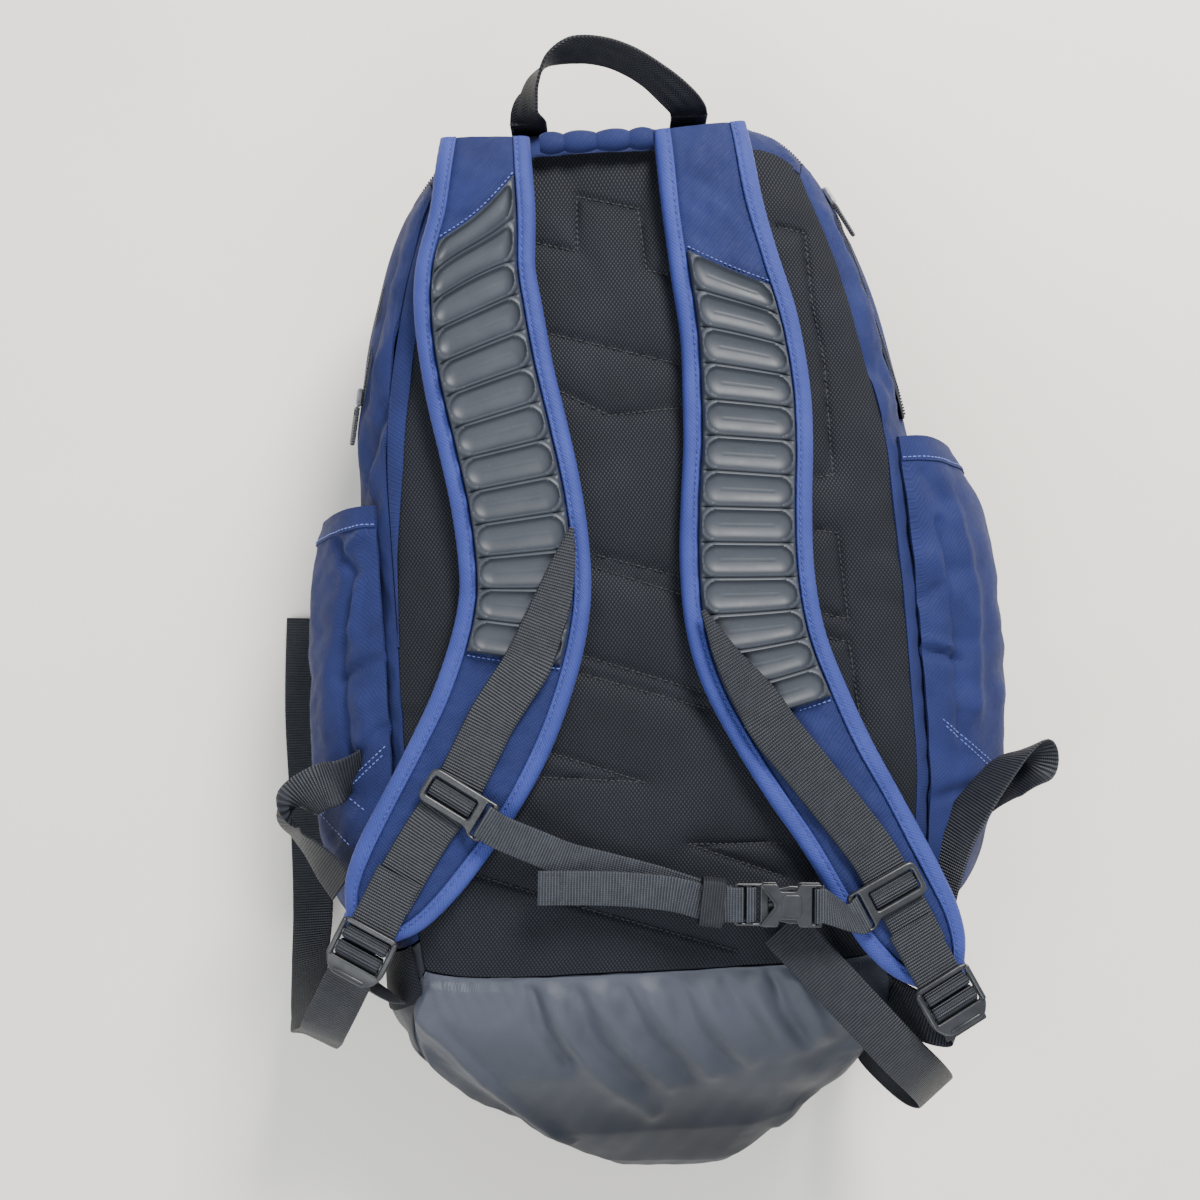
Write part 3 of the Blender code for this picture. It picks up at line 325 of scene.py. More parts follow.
dark_thread = thread("dark_thread", (0.0015, 0.0015, 0.002), (0.007, 0.007, 0.009))
cell_look = solar("solar_cells")
rubber = solid_look("cover_rubber", (0.02, 0.021, 0.023), (0.032, 0.033, 0.036), 0.55, 0.00004)


def pale_floor():
    look = Look("floor", (0.80, 0.75, 0.66), 0.6)
    spot = look.node("TexCoord").outputs["Object"]
    cloud = look.ramp(look.noise(spot, 3.0, 3.0), 0.3, 0.7)
    look.colour(look.tint(cloud, (0.79, 0.74, 0.65), (0.84, 0.80, 0.72)))
    look.bump(look.noise(spot, 60.0, 3.0), 0.0002)
    return look.made


FLOOR_HALF = 4.0
FLOOR_AT = -0.0004
floor_mesh = bpy.data.meshes.new("floor")
corners = [(x * FLOOR_HALF, y * FLOOR_HALF, FLOOR_AT) for x, y in ((-1, -1), (1, -1), (1, 1), (-1, 1))]
floor_mesh.from_pydata(corners, [], [(0, 1, 2, 3)])
floor_mesh.materials.append(pale_floor())
floor = bpy.data.objects.new("floor", floor_mesh)
scene.collection.objects.link(floor)


# ---------------------------------------------------------------- dimensions, as in the part

# Height of the bag's underside and of the back panel's crown, and how far the panel falls towards its edges
BAG_LOW = 3.6
PANEL_TOP = 176.0
CROWN_X = 9.0
CROWN_Y = 8.0
# The bag's section is a superellipse of this power, narrower by a share at its front and back
BOX_POWER = 8.0
SIDE_BULGE = 0.07
TOP_REACH = 255.0
FABRIC = 2.4
BACK_FOAM = 9.0
# Where the lower end's cloth starts, along Y
BOOT_CUT = -188.0
# Where panels end in box coordinates, just short of the corners
EDGE = 0.996
# The bag in plan: (Y, half width), and (Y, X of its middle)
HALF_WIDTH = [
    (258, 106), (236, 114), (210, 123), (178, 133), (150, 140), (122, 147), (99, 152), (70, 155),
    (0, 157), (-100, 158), (-170, 155), (-198, 152), (-215, 150), (-235, 146), (-250, 137),
    (-262, 125), (-276, 112), (-290, 98), (-304, 85), (-318, 68), (-330, 56), (-345, 48),
]
LEAN = [(140, 0), (0, 6), (-100, 8), (-180, 4), (-235, -6), (-265, -9), (-290, -6), (-320, 4)]
# The lower end's reach: (box height, length below the origin)
LOWER_END = [(1.0, 208), (0.92, 216), (0.6, 258), (0.2, 300), (-0.2, 330), (-0.5, 342), (-1.0, 342)]
# Straps in plan: (X, Y, half width)
LEFT_STRAP = [
    (-69, 248, 24), (-72, 206, 28), (-77, 175, 32), (-76.5, 150, 34), (-73, 120, 34.5), (-66.5, 85, 34.5),
    (-61.5, 55, 34.5), (-59, 25, 34.5), (-60, 0, 34.5), (-67, -28, 34.5), (-80, -60, 34.5), (-97, -90, 34),
    (-116, -118, 32), (-132, -140, 29), (-143, -155, 24), (-151, -166, 15),
]
RIGHT_STRAP = [
    (45, 248, 25), (48.5, 206, 26.5), (54, 170, 29), (59.5, 138, 31.5), (61.5, 106, 33.5), (61, 78, 34),
    (58.5, 48, 34.5), (57, 17, 35), (58.5, -12, 35.5), (64, -37, 35), (75, -64, 33.5), (89, -93, 31.5),
    (105, -122, 30), (126, -164, 29), (136, -182, 27), (144, -196, 22), (150, -207, 14),
]
STRAP_FOAM = 11.0
STRAP_LIFT = 1.0
BINDING = 9.0
# Moulded pads: sizes, upper and lower ends along Y, and (Y, slope of the hollows)
POD_PITCH = 18.4
POD_HEIGHT = 4.2
POD_BASE = 1.6
POD_GAP = 0.3
LEFT_PODS = (207, -27)
RIGHT_PODS = (170, -61)
LEFT_SLANT = [
    (200, -0.85), (180, -0.64), (162, -0.38), (126, -0.19), (107, -0.08), (72, 0.02), (-2, -0.03), (-27, -0.14),
]
RIGHT_SLANT = [
    (165, 0.62), (143, 0.45), (125, 0.32), (107, 0.2), (71, 0.03), (35, 0.0), (-1, 0.1), (-52, 0.18),
]
WEBBING = 25.0
WEB_THICK = 1.3
# Webbing down the straps: (X, Y, height above the strap, half width)
LEFT_RAIL = [
    (-33, 38, 7.4, 1.2), (-38, 21, 7.4, 6.0), (-44, 3, 7.4, 9.6), (-51, -13, 7.4, 11.2), (-59, -30, 7.4, 12.5),
    (-69, -44, 5.8, 12.5), (-79, -58, 3.8, 12.5), (-87, -72, 3.3, 12.5), (-102, -98, 3.3, 12.5),
    (-116, -116, 3.0, 12.5), (-128, -134, 2.4, 12.5), (-139.5, -152, 2.2, 12.5),
]
RIGHT_RAIL = [
    (32, -8, 7.4, 1.2), (38, -21, 7.4, 4.4), (43, -32, 7.4, 6.8), (50, -44, 7.4, 9.4), (58, -57, 7.4, 11.8),
    (66, -71, 6.4, 12.5), (82, -93, 3.8, 12.5), (103, -122, 3.3, 12.5), (115, -140, 3.3, 12.5),
    (124, -158, 3.3, 12.5), (131, -172, 2.4, 12.5), (140, -191, 2.2, 12.5),
]
# Fittings in plan: place, and the direction up the strap
LEFT_SLIDER, LEFT_SLIDER_UP = (-102, -98), (0.56, 0.83)
RIGHT_SLIDER, RIGHT_SLIDER_UP = (124, -158), (-0.43, 0.903)
LEFT_LOCK, LEFT_LOCK_UP = (-154, -176), (0.50, 0.866)
RIGHT_LOCK, RIGHT_LOCK_UP = (152, -217), (-0.46, 0.888)
# From a slider's middle to its side bar, and the width of the sternum webbing
SIDE_BAR = 22.5
STERNUM = 18.0
BUCKLE_START = (40.0, -159.5, 193.6)
BUCKLE_WIDE = 22.0
SIDES = (("left", -1), ("right", 1))


# ---------------------------------------------------------------- curves and tables

def stations(table, at):
    """Straight-line reading of a table of (place, value), with places in either order."""
    rows = np.array(sorted(table), float)
    return np.interp(at, rows[:, 0], rows[:, 1])


def smoothed(table, spread):
    """The table read every millimetre and averaged over about spread millimetres."""
    rows = np.array(sorted(table), float)
    at = np.arange(rows[0, 0] - 4 * spread, rows[-1, 0] + 4 * spread, 1.0)
    values = np.interp(at, rows[:, 0], rows[:, 1])
    reach = int(3 * spread)
    kernel = np.exp(-0.5 * (np.arange(-reach, reach + 1) / spread) ** 2)
    padded = np.pad(values, reach, mode="edge")
    return at, np.convolve(padded, kernel / kernel.sum(), mode="valid")


WIDTH_LINE = smoothed(HALF_WIDTH, 7.0)
LEAN_LINE = smoothed(LEAN, 12.0)


def unit(vectors):
    length = np.linalg.norm(vectors, axis=-1, keepdims=True)
    return vectors / np.maximum(length, 1e-9)


def knots(points, steps):
    """A smooth curve through points: finely spaced points, and each one's place in the list."""
    pts = np.array([tuple(p) for p in points], float)
    last = len(pts) - 1
    t = (np.arange(steps) / steps)[:, None]
    fine, place = [], []
    for k in range(last):
        p0, p1, p2, p3 = pts[max(k - 1, 0)], pts[k], pts[k + 1], pts[min(k + 2, last)]
        fine.append(0.5 * (2 * p1 + (p2 - p0) * t + (2 * p0 - 5 * p1 + 4 * p2 - p3) * t * t
                           + (3 * p1 - p0 - 3 * p2 + p3) * t ** 3))
        place.append(k + t[:, 0])
    fine.append(pts[-1:])
    place.append(np.array([float(last)]))
    return np.concatenate(fine), np.concatenate(place)


def lengths(points):
    """Length along a line at each of its points."""
    return np.concatenate([[0.0], np.cumsum(np.linalg.norm(np.diff(points, axis=0), axis=1))])


def read(want, reach, points):
    """Points of a line, or values along it, at the wanted lengths."""
    return np.stack([np.interp(want, reach, column) for column in points.T], -1)


def spline(points, count):
    """Evenly spaced points on a smooth curve, spaced as the part spaces them."""
    fine, _ = knots(points, 16)
    step = np.diff(fine, axis=0)
    gap = np.hypot(step[:, 0], step[:, 1]) + 1e-6 + np.abs(step[:, -1]) * 0.2
    reach = np.concatenate([[0.0], np.cumsum(gap)])
    return read(np.linspace(0.0, reach[-1], count), reach, fine)


def traced(points, step):
    """(points about step apart on a smooth curve, place of each in the list, length so far)."""
    fine, place = knots(points, 24)
    reach = lengths(fine)
    want = np.linspace(0.0, reach[-1], max(int(reach[-1] / step) + 1, 4))
    return read(want, reach, fine), np.interp(want, reach, place), want


def spread(low, high, count, ease=0.0):
    """Evenly spread numbers. ease above 0 packs them towards both ends."""
    t = np.linspace(0.0, 1.0, count)
    t = t * (1 - ease) + ease * (0.5 - 0.5 * np.cos(math.pi * t))
    return low + (high - low) * t


def ripple(x, y, size, seed):
    """Smooth, repeatable unevenness between about -1 and 1, with bumps about size across."""
    draw = np.random.default_rng(seed)
    total = 0.0
    for _ in range(6):
        turn, shift = draw.uniform(0, 2 * math.pi), draw.uniform(0, 2 * math.pi)
        scale = draw.uniform(0.6, 1.5)
        way = x * math.cos(turn) + y * math.sin(turn)
        total = total + np.sin(way * 2 * math.pi / (size * scale) + shift)
    return total / 3.2


def gap_to(xy, line):
    """Distance of each point from a line of straight runs."""
    best = np.full(xy.shape[:-1], 1e9)
    for a, b in zip(line, line[1:]):
        a, run = np.array(a, float), np.array(b, float) - np.array(a, float)
        t = np.clip(((xy - a) @ run) / (run @ run), 0.0, 1.0)
        best = np.minimum(best, np.linalg.norm(xy - a - t[..., None] * run, axis=-1))
    return best


def folds(xy, table):
    """Sum of soft ridges and valleys: rows of (line, width, height)."""
    total = np.zeros(xy.shape[:-1])
    for line, width, height in table:
        total += height * np.exp(-(gap_to(xy, line) / width) ** 2)
    return total


# ---------------------------------------------------------------- mesh building

def mesh_object(name, verts, faces, look, uv=None, sharp=50.0):
    """A mesh object from millimetre points. uv holds lengths over the cloth, in metres."""
    mesh = bpy.data.meshes.new(name)
    mesh.from_pydata((np.asarray(verts, float) * MM).tolist(), [], faces)
    if uv is not None:
        layer = mesh.uv_layers.new(name=WEAVE)
        corner = np.zeros(len(mesh.loops), np.int32)
        mesh.loops.foreach_get("vertex_index", corner)
        layer.data.foreach_set("uv", np.asarray(uv, np.float32)[corner].ravel())
    mesh.materials.append(look)
    mesh.shade_smooth()
    mesh.set_sharp_from_angle(angle=math.radians(sharp))
    obj = bpy.data.objects.new(name, mesh)
    scene.collection.objects.link(obj)
    return obj


def settle(obj, body, slot, *nodes):
    """Says what the piece rides on and hides the imported parts that it stands for. slot is not used."""
    if body:
        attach(obj, body)
    if nodes:
        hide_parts(*nodes)
    return obj


def grid_uv(grid):
    """Lengths across and along a grid of points, in metres."""
    across = np.linalg.norm(np.diff(grid, axis=1), axis=2)
    along = np.linalg.norm(np.diff(grid, axis=0), axis=2)
    u = np.concatenate([np.zeros((len(grid), 1)), np.cumsum(across, axis=1)], axis=1)
    v = np.concatenate([np.zeros((1, grid.shape[1])), np.cumsum(along, axis=0)], axis=0)
    u = u - u[:, u.shape[1] // 2][:, None]
    v = v - v[v.shape[0] // 2][None, :]
    return np.stack([u, v], -1) * MM


def turned_normals(grid):
    """Unit normals of a grid of points, on the side that its rows and columns turn to."""
    return unit(np.cross(np.gradient(grid, axis=1), np.gradient(grid, axis=0)))


def grid_normals(grid, outward):
    """Unit normals of a grid of points, on the side of outward."""
    normal = turned_normals(grid)
    return normal if (normal * np.array(outward)).sum() > 0 else -normal


def grid_faces(at):
    """Four-sided faces over a grid of vertex numbers."""
    return np.stack([at[:-1, :-1], at[:-1, 1:], at[1:, 1:], at[1:, :-1]], -1).reshape(-1, 4)


def slab_faces(rows, cols):
    """Faces of a closed sheet whose first rows * cols points are its outer side."""
    at = np.arange(rows * cols).reshape(rows, cols)
    quads = grid_faces(at)
    rim = np.concatenate([at[0, :-1], at[:-1, -1], at[-1, :0:-1], at[:0:-1, 0]])
    after = np.roll(rim, -1)
    edge = np.stack([rim, rim + rows * cols, after + rows * cols, after], -1)
    return np.concatenate([quads, quads[:, ::-1] + rows * cols, edge]).tolist()


def cloth(name, grid, thick, look, outward, under=None, flat=None):
    """A closed sheet between grid, its outer side, and under. Its weave is laid on the grid flat."""
    normal = grid_normals(grid, outward)
    inner = grid - normal * thick if under is None else under
    uv = grid_uv(grid if flat is None else flat)
    if (turned_normals(grid) * normal).sum() < 0:
        grid, inner, uv = grid[:, ::-1], inner[:, ::-1], uv[:, ::-1]
    uv = uv.reshape(-1, 2)
    verts = np.concatenate([grid.reshape(-1, 3), inner.reshape(-1, 3)])
    return mesh_object(name, verts, slab_faces(*grid.shape[:2]), look, np.concatenate([uv, uv]))


def swept(name, rings, look, uv):
    """A closed skin over rings of points, shaped (count, around, 3)."""
    count, around = rings.shape[:2]
    at = np.arange(count * around).reshape(count, around)
    ahead = np.roll(at, -1, axis=1)
    quads = np.stack([at[:-1], ahead[:-1], ahead[1:], at[1:]], -1).reshape(-1, 4)
    middle = rings.mean(axis=1)
    turn = np.cross(rings[:, 0] - middle, rings[:, 1] - middle)
    flip = (turn * np.gradient(middle, axis=0)).sum() < 0
    faces = (quads[:, ::-1] if flip else quads).tolist()
    ends = [at[0][::-1].tolist(), at[-1].tolist()]
    faces += [face[::-1] if flip else face for face in ends]
    return mesh_object(name, rings.reshape(-1, 3), faces, look, np.asarray(uv).reshape(-1, 2))


# Outline of webbing across its width, as shares of its width and thickness
RIBBON_SHAPE = np.array([
    (-0.44, -0.5), (-0.15, -0.5), (0.15, -0.5), (0.44, -0.5), (0.485, -0.36), (0.5, 0.0), (0.485, 0.36),
    (0.44, 0.5), (0.15, 0.5), (-0.15, 0.5), (-0.44, 0.5), (-0.485, 0.36), (-0.5, 0.0), (-0.485, -0.36),
])


class Web:
    """Flat webbing along a smooth path, and where points on it lie. square keeps its ribs at right angles."""

    def __init__(self, name, points, sides, width, thick, look, step=1.6, square=True):
        self.path, place, self.reach = traced(points, step)
        count = len(points)
        at = np.arange(count)
        if np.ndim(sides[0]) == 0 and not isinstance(sides[0], Vector):
            sides = [sides] * count
        side = np.array([tuple(s) for s in sides], float)
        side = read(place, at, side)
        wide = np.interp(place, at, width) if np.ndim(width) else np.full(len(place), float(width))
        self.way = unit(np.gradient(self.path, axis=0))
        if square:
            side = side - self.way * (side * self.way).sum(-1, keepdims=True)
        self.side = unit(side)
        self.up = unit(np.cross(self.side, self.way))
        self.width = wide
        self.thick = thick
        rings = (self.path[:, None, :]
                 + self.side[:, None, :] * (RIBBON_SHAPE[None, :, :1] * wide[:, None, None])
                 + self.up[:, None, :] * (RIBBON_SHAPE[None, :, 1:] * thick))
        u = RIBBON_SHAPE[None, :, 0] * wide[:, None]
        v = np.repeat(self.reach[:, None], len(RIBBON_SHAPE), axis=1)
        self.obj = swept(name, rings, look, np.stack([u, v], -1) * MM)

    def at(self, across, along, lift=0.1):
        """Points on the webbing's upper face. across is from its middle, along from its start."""
        across, along = np.broadcast_arrays(np.asarray(across, float), np.asarray(along, float))
        path, side, up = (read(along, self.reach, values) for values in (self.path, self.side, self.up))
        return path + side * across[..., None] + up * (self.thick / 2 + lift)

    def box_stitch(self, start, end, middle=True, inset=2.2):
        """Runs of thread: both edges, both ends and the middle, between two lengths."""
        along = np.linspace(start, end, max(int((end - start) / 2), 2))
        half = float(np.interp((start + end) / 2, self.reach, self.width)) / 2 - inset
        across = np.linspace(-half, half, 8)
        runs = [self.at(-half, along), self.at(half, along), self.at(across, start), self.at(across, end)]
        if middle:
            runs.append(self.at(0.0, along))
        return runs


STITCH_RINGS = ((-0.44, 0.55), (-0.2, 0.95), (0.2, 0.95), (0.44, 0.55))
STITCH_AROUND = 6


def stitches(name, runs, look, pitch=3.0, length=2.1, radius=0.38, up=(0, 0, 1)):
    """A row of short threads along each run of points."""
    centres, ways = [], []
    for run in runs:
        reach = lengths(run)
        count = max(int(reach[-1] / pitch), 1)
        want = (np.arange(count) + 0.5) * reach[-1] / count
        centres.append(read(want, reach, run))
        ways.append(unit(read(want + 0.6, reach, run) - read(want - 0.6, reach, run)))
    centre, way = np.concatenate(centres), np.concatenate(ways)
    return capsules(name, centre, way, look, length, radius, up)


def capsules(name, centre, way, look, length, radius, up=(0, 0, 1)):
    """Short rounded threads, one at each centre and pointing along way."""
    side = unit(np.cross(way, np.array(up, float)) + 1e-6)
    rise = np.cross(side, way)
    turn = 2 * math.pi * np.arange(STITCH_AROUND) / STITCH_AROUND
    rings = []
    for along, size in STITCH_RINGS:
        ring = (centre[:, None, :] + way[:, None, :] * along * length
                + side[:, None, :] * (np.cos(turn) * size * radius)[None, :, None]
                + rise[:, None, :] * (np.sin(turn) * size * radius)[None, :, None])
        rings.append(ring)
    tips = np.stack([centre - way * length / 2, centre + way * length / 2], 1)
    verts = np.concatenate(rings + [tips], axis=1)
    around, count = STITCH_AROUND, len(STITCH_RINGS)
    shape = []
    for k in range(count - 1):
        for j in range(around):
            n = (j + 1) % around
            shape.append((around * k + j, around * (k + 1) + j, around * (k + 1) + n, around * k + n))
    low, high = count * around, count * around + 1
    for j in range(around):
        n = (j + 1) % around
        shape.append((low, j, n))
        shape.append((high, around * (count - 1) + n, around * (count - 1) + j))
    faces = [tuple(v + k * verts.shape[1] for v in face) for k in range(len(centre)) for face in shape]
    return mesh_object(name, verts.reshape(-1, 3), faces, look, sharp=80.0)


def tree_of(*objects):
    """A search tree over the faces of some pieces."""
    verts, faces = [], []
    for obj in objects:
        base = len(verts)
        verts += [v.co.copy() for v in obj.data.vertices]
        faces += [tuple(base + k for k in p.vertices) for p in obj.data.polygons]
    return BVHTree.FromPolygons(verts, faces)


def dropped(tree, line, lift=0.15, step=1.0):
    """The line's plan points laid on a surface from above."""
    line = np.array(line, float)[:, :2]
    reach = lengths(line)
    out = []
    for x, y in read(np.linspace(0.0, reach[-1], max(int(reach[-1] / step), 2)), reach, line):
        hit = tree.ray_cast(Vector((x * MM, y * MM, 0.5)), Vector((0, 0, -1)))[0]
        if hit is not None:
            out.append((x, y, hit.z / MM + lift))
    return np.array(out)


def placed(centre, right, up):
    """The matrix, in millimetres, whose X is right, whose Y is up and whose Z is their cross product."""
    x = Vector(right).normalized()
    y = Vector(up)
    y = (y - x * x.dot(y)).normalized()
    return Matrix.Translation(Vector(centre)) @ Matrix((x, y, x.cross(y))).transposed().to_4x4()


def softened(outline, radius, steps=4):
    """The outline with each corner rounded by up to radius."""
    pts = [Vector(p).to_2d() for p in outline]
    out = []
    for k, corner in enumerate(pts):
        before, after = pts[k - 1] - corner, pts[(k + 1) % len(pts)] - corner
        reach = min(radius, before.length * 0.48, after.length * 0.48)
        a, b = corner + before.normalized() * reach, corner + after.normalized() * reach
        for n in range(steps + 1):
            t = n / steps
            out.append(tuple(a * (1 - t) ** 2 + corner * 2 * t * (1 - t) + b * t * t))
    return out


def rounded(half_x, half_y, corner, centre=(0.0, 0.0), steps=5):
    """The outline of a rectangle with rounded corners."""
    out = []
    for quarter, (sx, sy) in enumerate(((1, 1), (-1, 1), (-1, -1), (1, -1))):
        for k in range(steps + 1):
            turn = math.pi / 2 * (quarter + k / steps)
            out.append((centre[0] + sx * (half_x - corner) + corner * math.cos(turn),
                        centre[1] + sy * (half_y - corner) + corner * math.sin(turn)))
    return out


def taken_mesh(obj, shift):
    """Points, moved by shift, and faces of an object as its settings leave it. The object is removed."""
    scene.collection.objects.link(obj)
    bpy.context.view_layer.update()
    flat = bpy.data.meshes.new_from_object(obj.evaluated_get(bpy.context.evaluated_depsgraph_get()))
    bpy.data.objects.remove(obj)
    verts = np.array([v.co for v in flat.vertices]) + np.array(shift)
    faces = [tuple(p.vertices) for p in flat.polygons]
    bpy.data.meshes.remove(flat)
    return verts, faces


def flat_moulding(outline, holes, low, high, rim):
    """Points and faces of a flat moulding with rounded edges, in its own frame."""
    curve = bpy.data.curves.new("outline", "CURVE")
    curve.dimensions = "2D"
    curve.fill_mode = "BOTH"
    curve.extrude = (high - low) / 2 - rim
    curve.bevel_depth = rim
    curve.bevel_resolution = 2
    curve.offset = -rim
    for loop in [outline] + holes:
        line = curve.splines.new("POLY")
        line.points.add(len(loop) - 1)
        for point, (x, y) in zip(line.points, loop):
            point.co = (x, y, 0.0, 1.0)
        line.use_cyclic_u = True
    return taken_mesh(bpy.data.objects.new("outline", curve), (0.0, 0.0, (high + low) / 2))


def rounded_box(size, centre, edge, segments=3):
    """Points and faces of a box with rounded edges."""
    shape = bpy.data.meshes.new("box")
    half = np.array(size) / 2
    corners = [(x, y, z) for z in (-1, 1) for y in (-1, 1) for x in (-1, 1)]
    faces = [(0, 2, 3, 1), (4, 5, 7, 6), (0, 1, 5, 4), (2, 6, 7, 3), (0, 4, 6, 2), (1, 3, 7, 5)]
    shape.from_pydata([tuple(half * c) for c in corners], [], faces)
    holder = bpy.data.objects.new("box", shape)
    soft = holder.modifiers.new("soft", "BEVEL")
    soft.width = edge
    soft.segments = segments
    return taken_mesh(holder, centre)


def merged(shapes):
    """Points and faces of several shapes as one."""
    verts, faces = [], []
    for points, polygons in shapes:
        base = sum(len(v) for v in verts)
        verts.append(points)
        faces += [tuple(base + k for k in face) for face in polygons]
    return np.concatenate(verts), faces


def moved(shape, where, bend=None):
    """The shape in the frame of where, after bend has moved its points."""
    points, faces = shape
    if bend is not None:
        points = bend(points)
    matrix = np.array(where)
    return points @ matrix[:3, :3].T + matrix[:3, 3], faces


def moulding(name, shape, where, body, node, bend=None):
    """A plastic piece in the frame of where. A mirroring frame turns its faces round."""
    points, faces = moved(shape, where, bend)
    if where.determinant() < 0:
        faces = [face[::-1] for face in faces]
    settle(mesh_object(name, points, faces, plastic, sharp=35.0), body, "plastic", node)


def sew(name, runs, look, body, slot, *sizes):
    """Rows of thread along the runs. sizes are the pitch, length, radius and up of stitches()."""
    settle(stitches(name, runs, look, *sizes), body, slot)


# ---------------------------------------------------------------- the bag's shape

def panel_height(x, y):
    """Height of the crowned back panel."""
    return PANEL_TOP - CROWN_X * (x / 140) ** 2 - CROWN_Y * ((y + 30) / 260) ** 2


def bag_point(a, b, c, inset=0.0):
    """Points of the bag's skin from box coordinates in -1..1. inset moves them inward."""
    a, b, c = np.broadcast_arrays(np.asarray(a, float), np.asarray(b, float), np.asarray(c, float))
    size = (np.abs(a) ** BOX_POWER + np.abs(b) ** BOX_POWER + np.abs(c) ** BOX_POWER) ** (1 / BOX_POWER)
    x, y, z = a / size, b / size, c / size
    along = y * np.where(y > 0, TOP_REACH, stations(LOWER_END, z))
    wide = np.interp(along, *WIDTH_LINE) * (1 - SIDE_BULGE * z * z)
    across = np.interp(along, *LEAN_LINE) + x * wide * (1 - inset / 150)
    top = panel_height(across, along)
    height = (top + BAG_LOW) / 2 + z * (top - BAG_LOW) / 2 * (1 - inset / 86)
    return np.stack([across, along * (1 - inset / 262), height], -1)


def panel_grid(face, first, second, counts, inset=0.0, ease=0.5):
    """Points of one side of the bag. face is its box axis and sign, first and second the other axes' ranges."""
    axis, sign = face
    rest = [k for k in range(3) if k != axis]
    u, v = np.meshgrid(spread(*first, counts[0], ease), spread(*second, counts[1], ease), indexing="ij")
    spot = [None, None, None]
    spot[axis] = np.full(u.shape, float(sign))
    spot[rest[0]], spot[rest[1]] = u, v
    return bag_point(*spot, inset)


def strap_height(x, y):
    """Height of a strap's underside. Straps dip over the bag's top edge."""
    return panel_height(x, y) + STRAP_LIFT - 8.0 * (np.maximum(y - 222.0, 0.0) / 26.0) ** 2


def strap_top(x, y):
    return strap_height(x, y) + STRAP_FOAM


# Quilting on the back panel, in plan
QUILT = [
    [(-45, 191), (-23, 185), (-22, 215), (10, 207), (13, 173), (28, 169)],
    [(-40, 142), (28, 122)],
    [(-36, 111), (-11, 97), (27, 99)],
    [(-22, 24), (23, 10)],
    [(-24, 18), (22, 1)],
    [(-33, -28), (31, -51)],
    [(-36, -37), (33, -60)],
    [(-53, -78), (-2, -97), (-63, -91)],
    [(70, -133), (20, -131), (69, -151)],
    [(-94, -142), (43, -190)],
    [(84, 194), (99, 190), (100, 154), (105, 121), (106, 60), (98, 59)],
    [(95, 31), (107, 29), (110, -17), (97, -13)],
    [(99, -26), (110, -29), (114, -71)],
]
# Soft dents and swells of the back panel: (line, width, height)
PANEL_FOLDS = [
    ([(-140, -55), (-112, -58)], 5, -0.9), ([(-138, -88), (-112, -80)], 6, -0.7),
    ([(-136, 20), (-118, 22)], 6, -0.6), ([(126, 20), (148, 16)], 5, -0.9),
    ([(120, -6), (150, -12)], 6, -0.7), ([(-10, 235), (-6, 170)], 9, 0.5),
    ([(-80, -176), (60, -188)], 9, -0.8), ([(-60, -160), (40, -172)], 8, 0.4),
    ([(60, -170), (110, -176)], 7, -0.6),
]
# Folds of the lower end's back in plan: (line, width, height)
BOOT_FOLDS = [
    ([(-68, -203), (-63, -224), (-51, -246)], 4.6, -3.2),
    ([(-59, -203), (-48, -232), (-29, -262), (-6, -286)], 6.0, 2.6),
    ([(-46, -204), (-34, -236), (-13, -264)], 5.0, -2.2), ([(-34, -204), (-19, -236), (4, -264)], 5.5, 2.0),
    ([(-21, -204), (-7, -232), (14, -258)], 5.0, -2.0), ([(-8, -204), (8, -232), (27, -256)], 5.5, 1.9),
    ([(6, -204), (20, -229), (36, -250)], 5.0, -1.8), ([(20, -204), (34, -230), (48, -250)], 5.5, 1.7),
    ([(34, -204), (46, -222), (56, -238)], 5.0, -1.5), ([(47, -204), (56, -222), (66, -238)], 5.0, 1.6),
    ([(60, -203), (65, -221), (77, -240)], 4.2, -2.6), ([(71, -203), (81, -222), (89, -240)], 5.0, 2.0),
    ([(67, -247), (80, -241), (101, -225)], 6.0, 1.6), ([(83, -254), (114, -238)], 6.0, -1.6),
    ([(-138, -200), (-118, -228), (-94, -260), (-70, -290), (-53, -307)], 3.6, 3.0),
    ([(-146, -212), (-126, -240), (-103, -268), (-80, -294)], 5.5, -3.4),
    ([(118, -226), (103, -256), (84, -284), (66, -306)], 4.0, 2.4),
    ([(124, -240), (108, -268), (92, -290)], 5.5, -2.4),
    ([(20, -256), (60, -272), (90, -262)], 12.0, 1.2), ([(-60, -284), (-20, -302)], 12.0, 0.8),
]

SLACK_FRAMES = 20


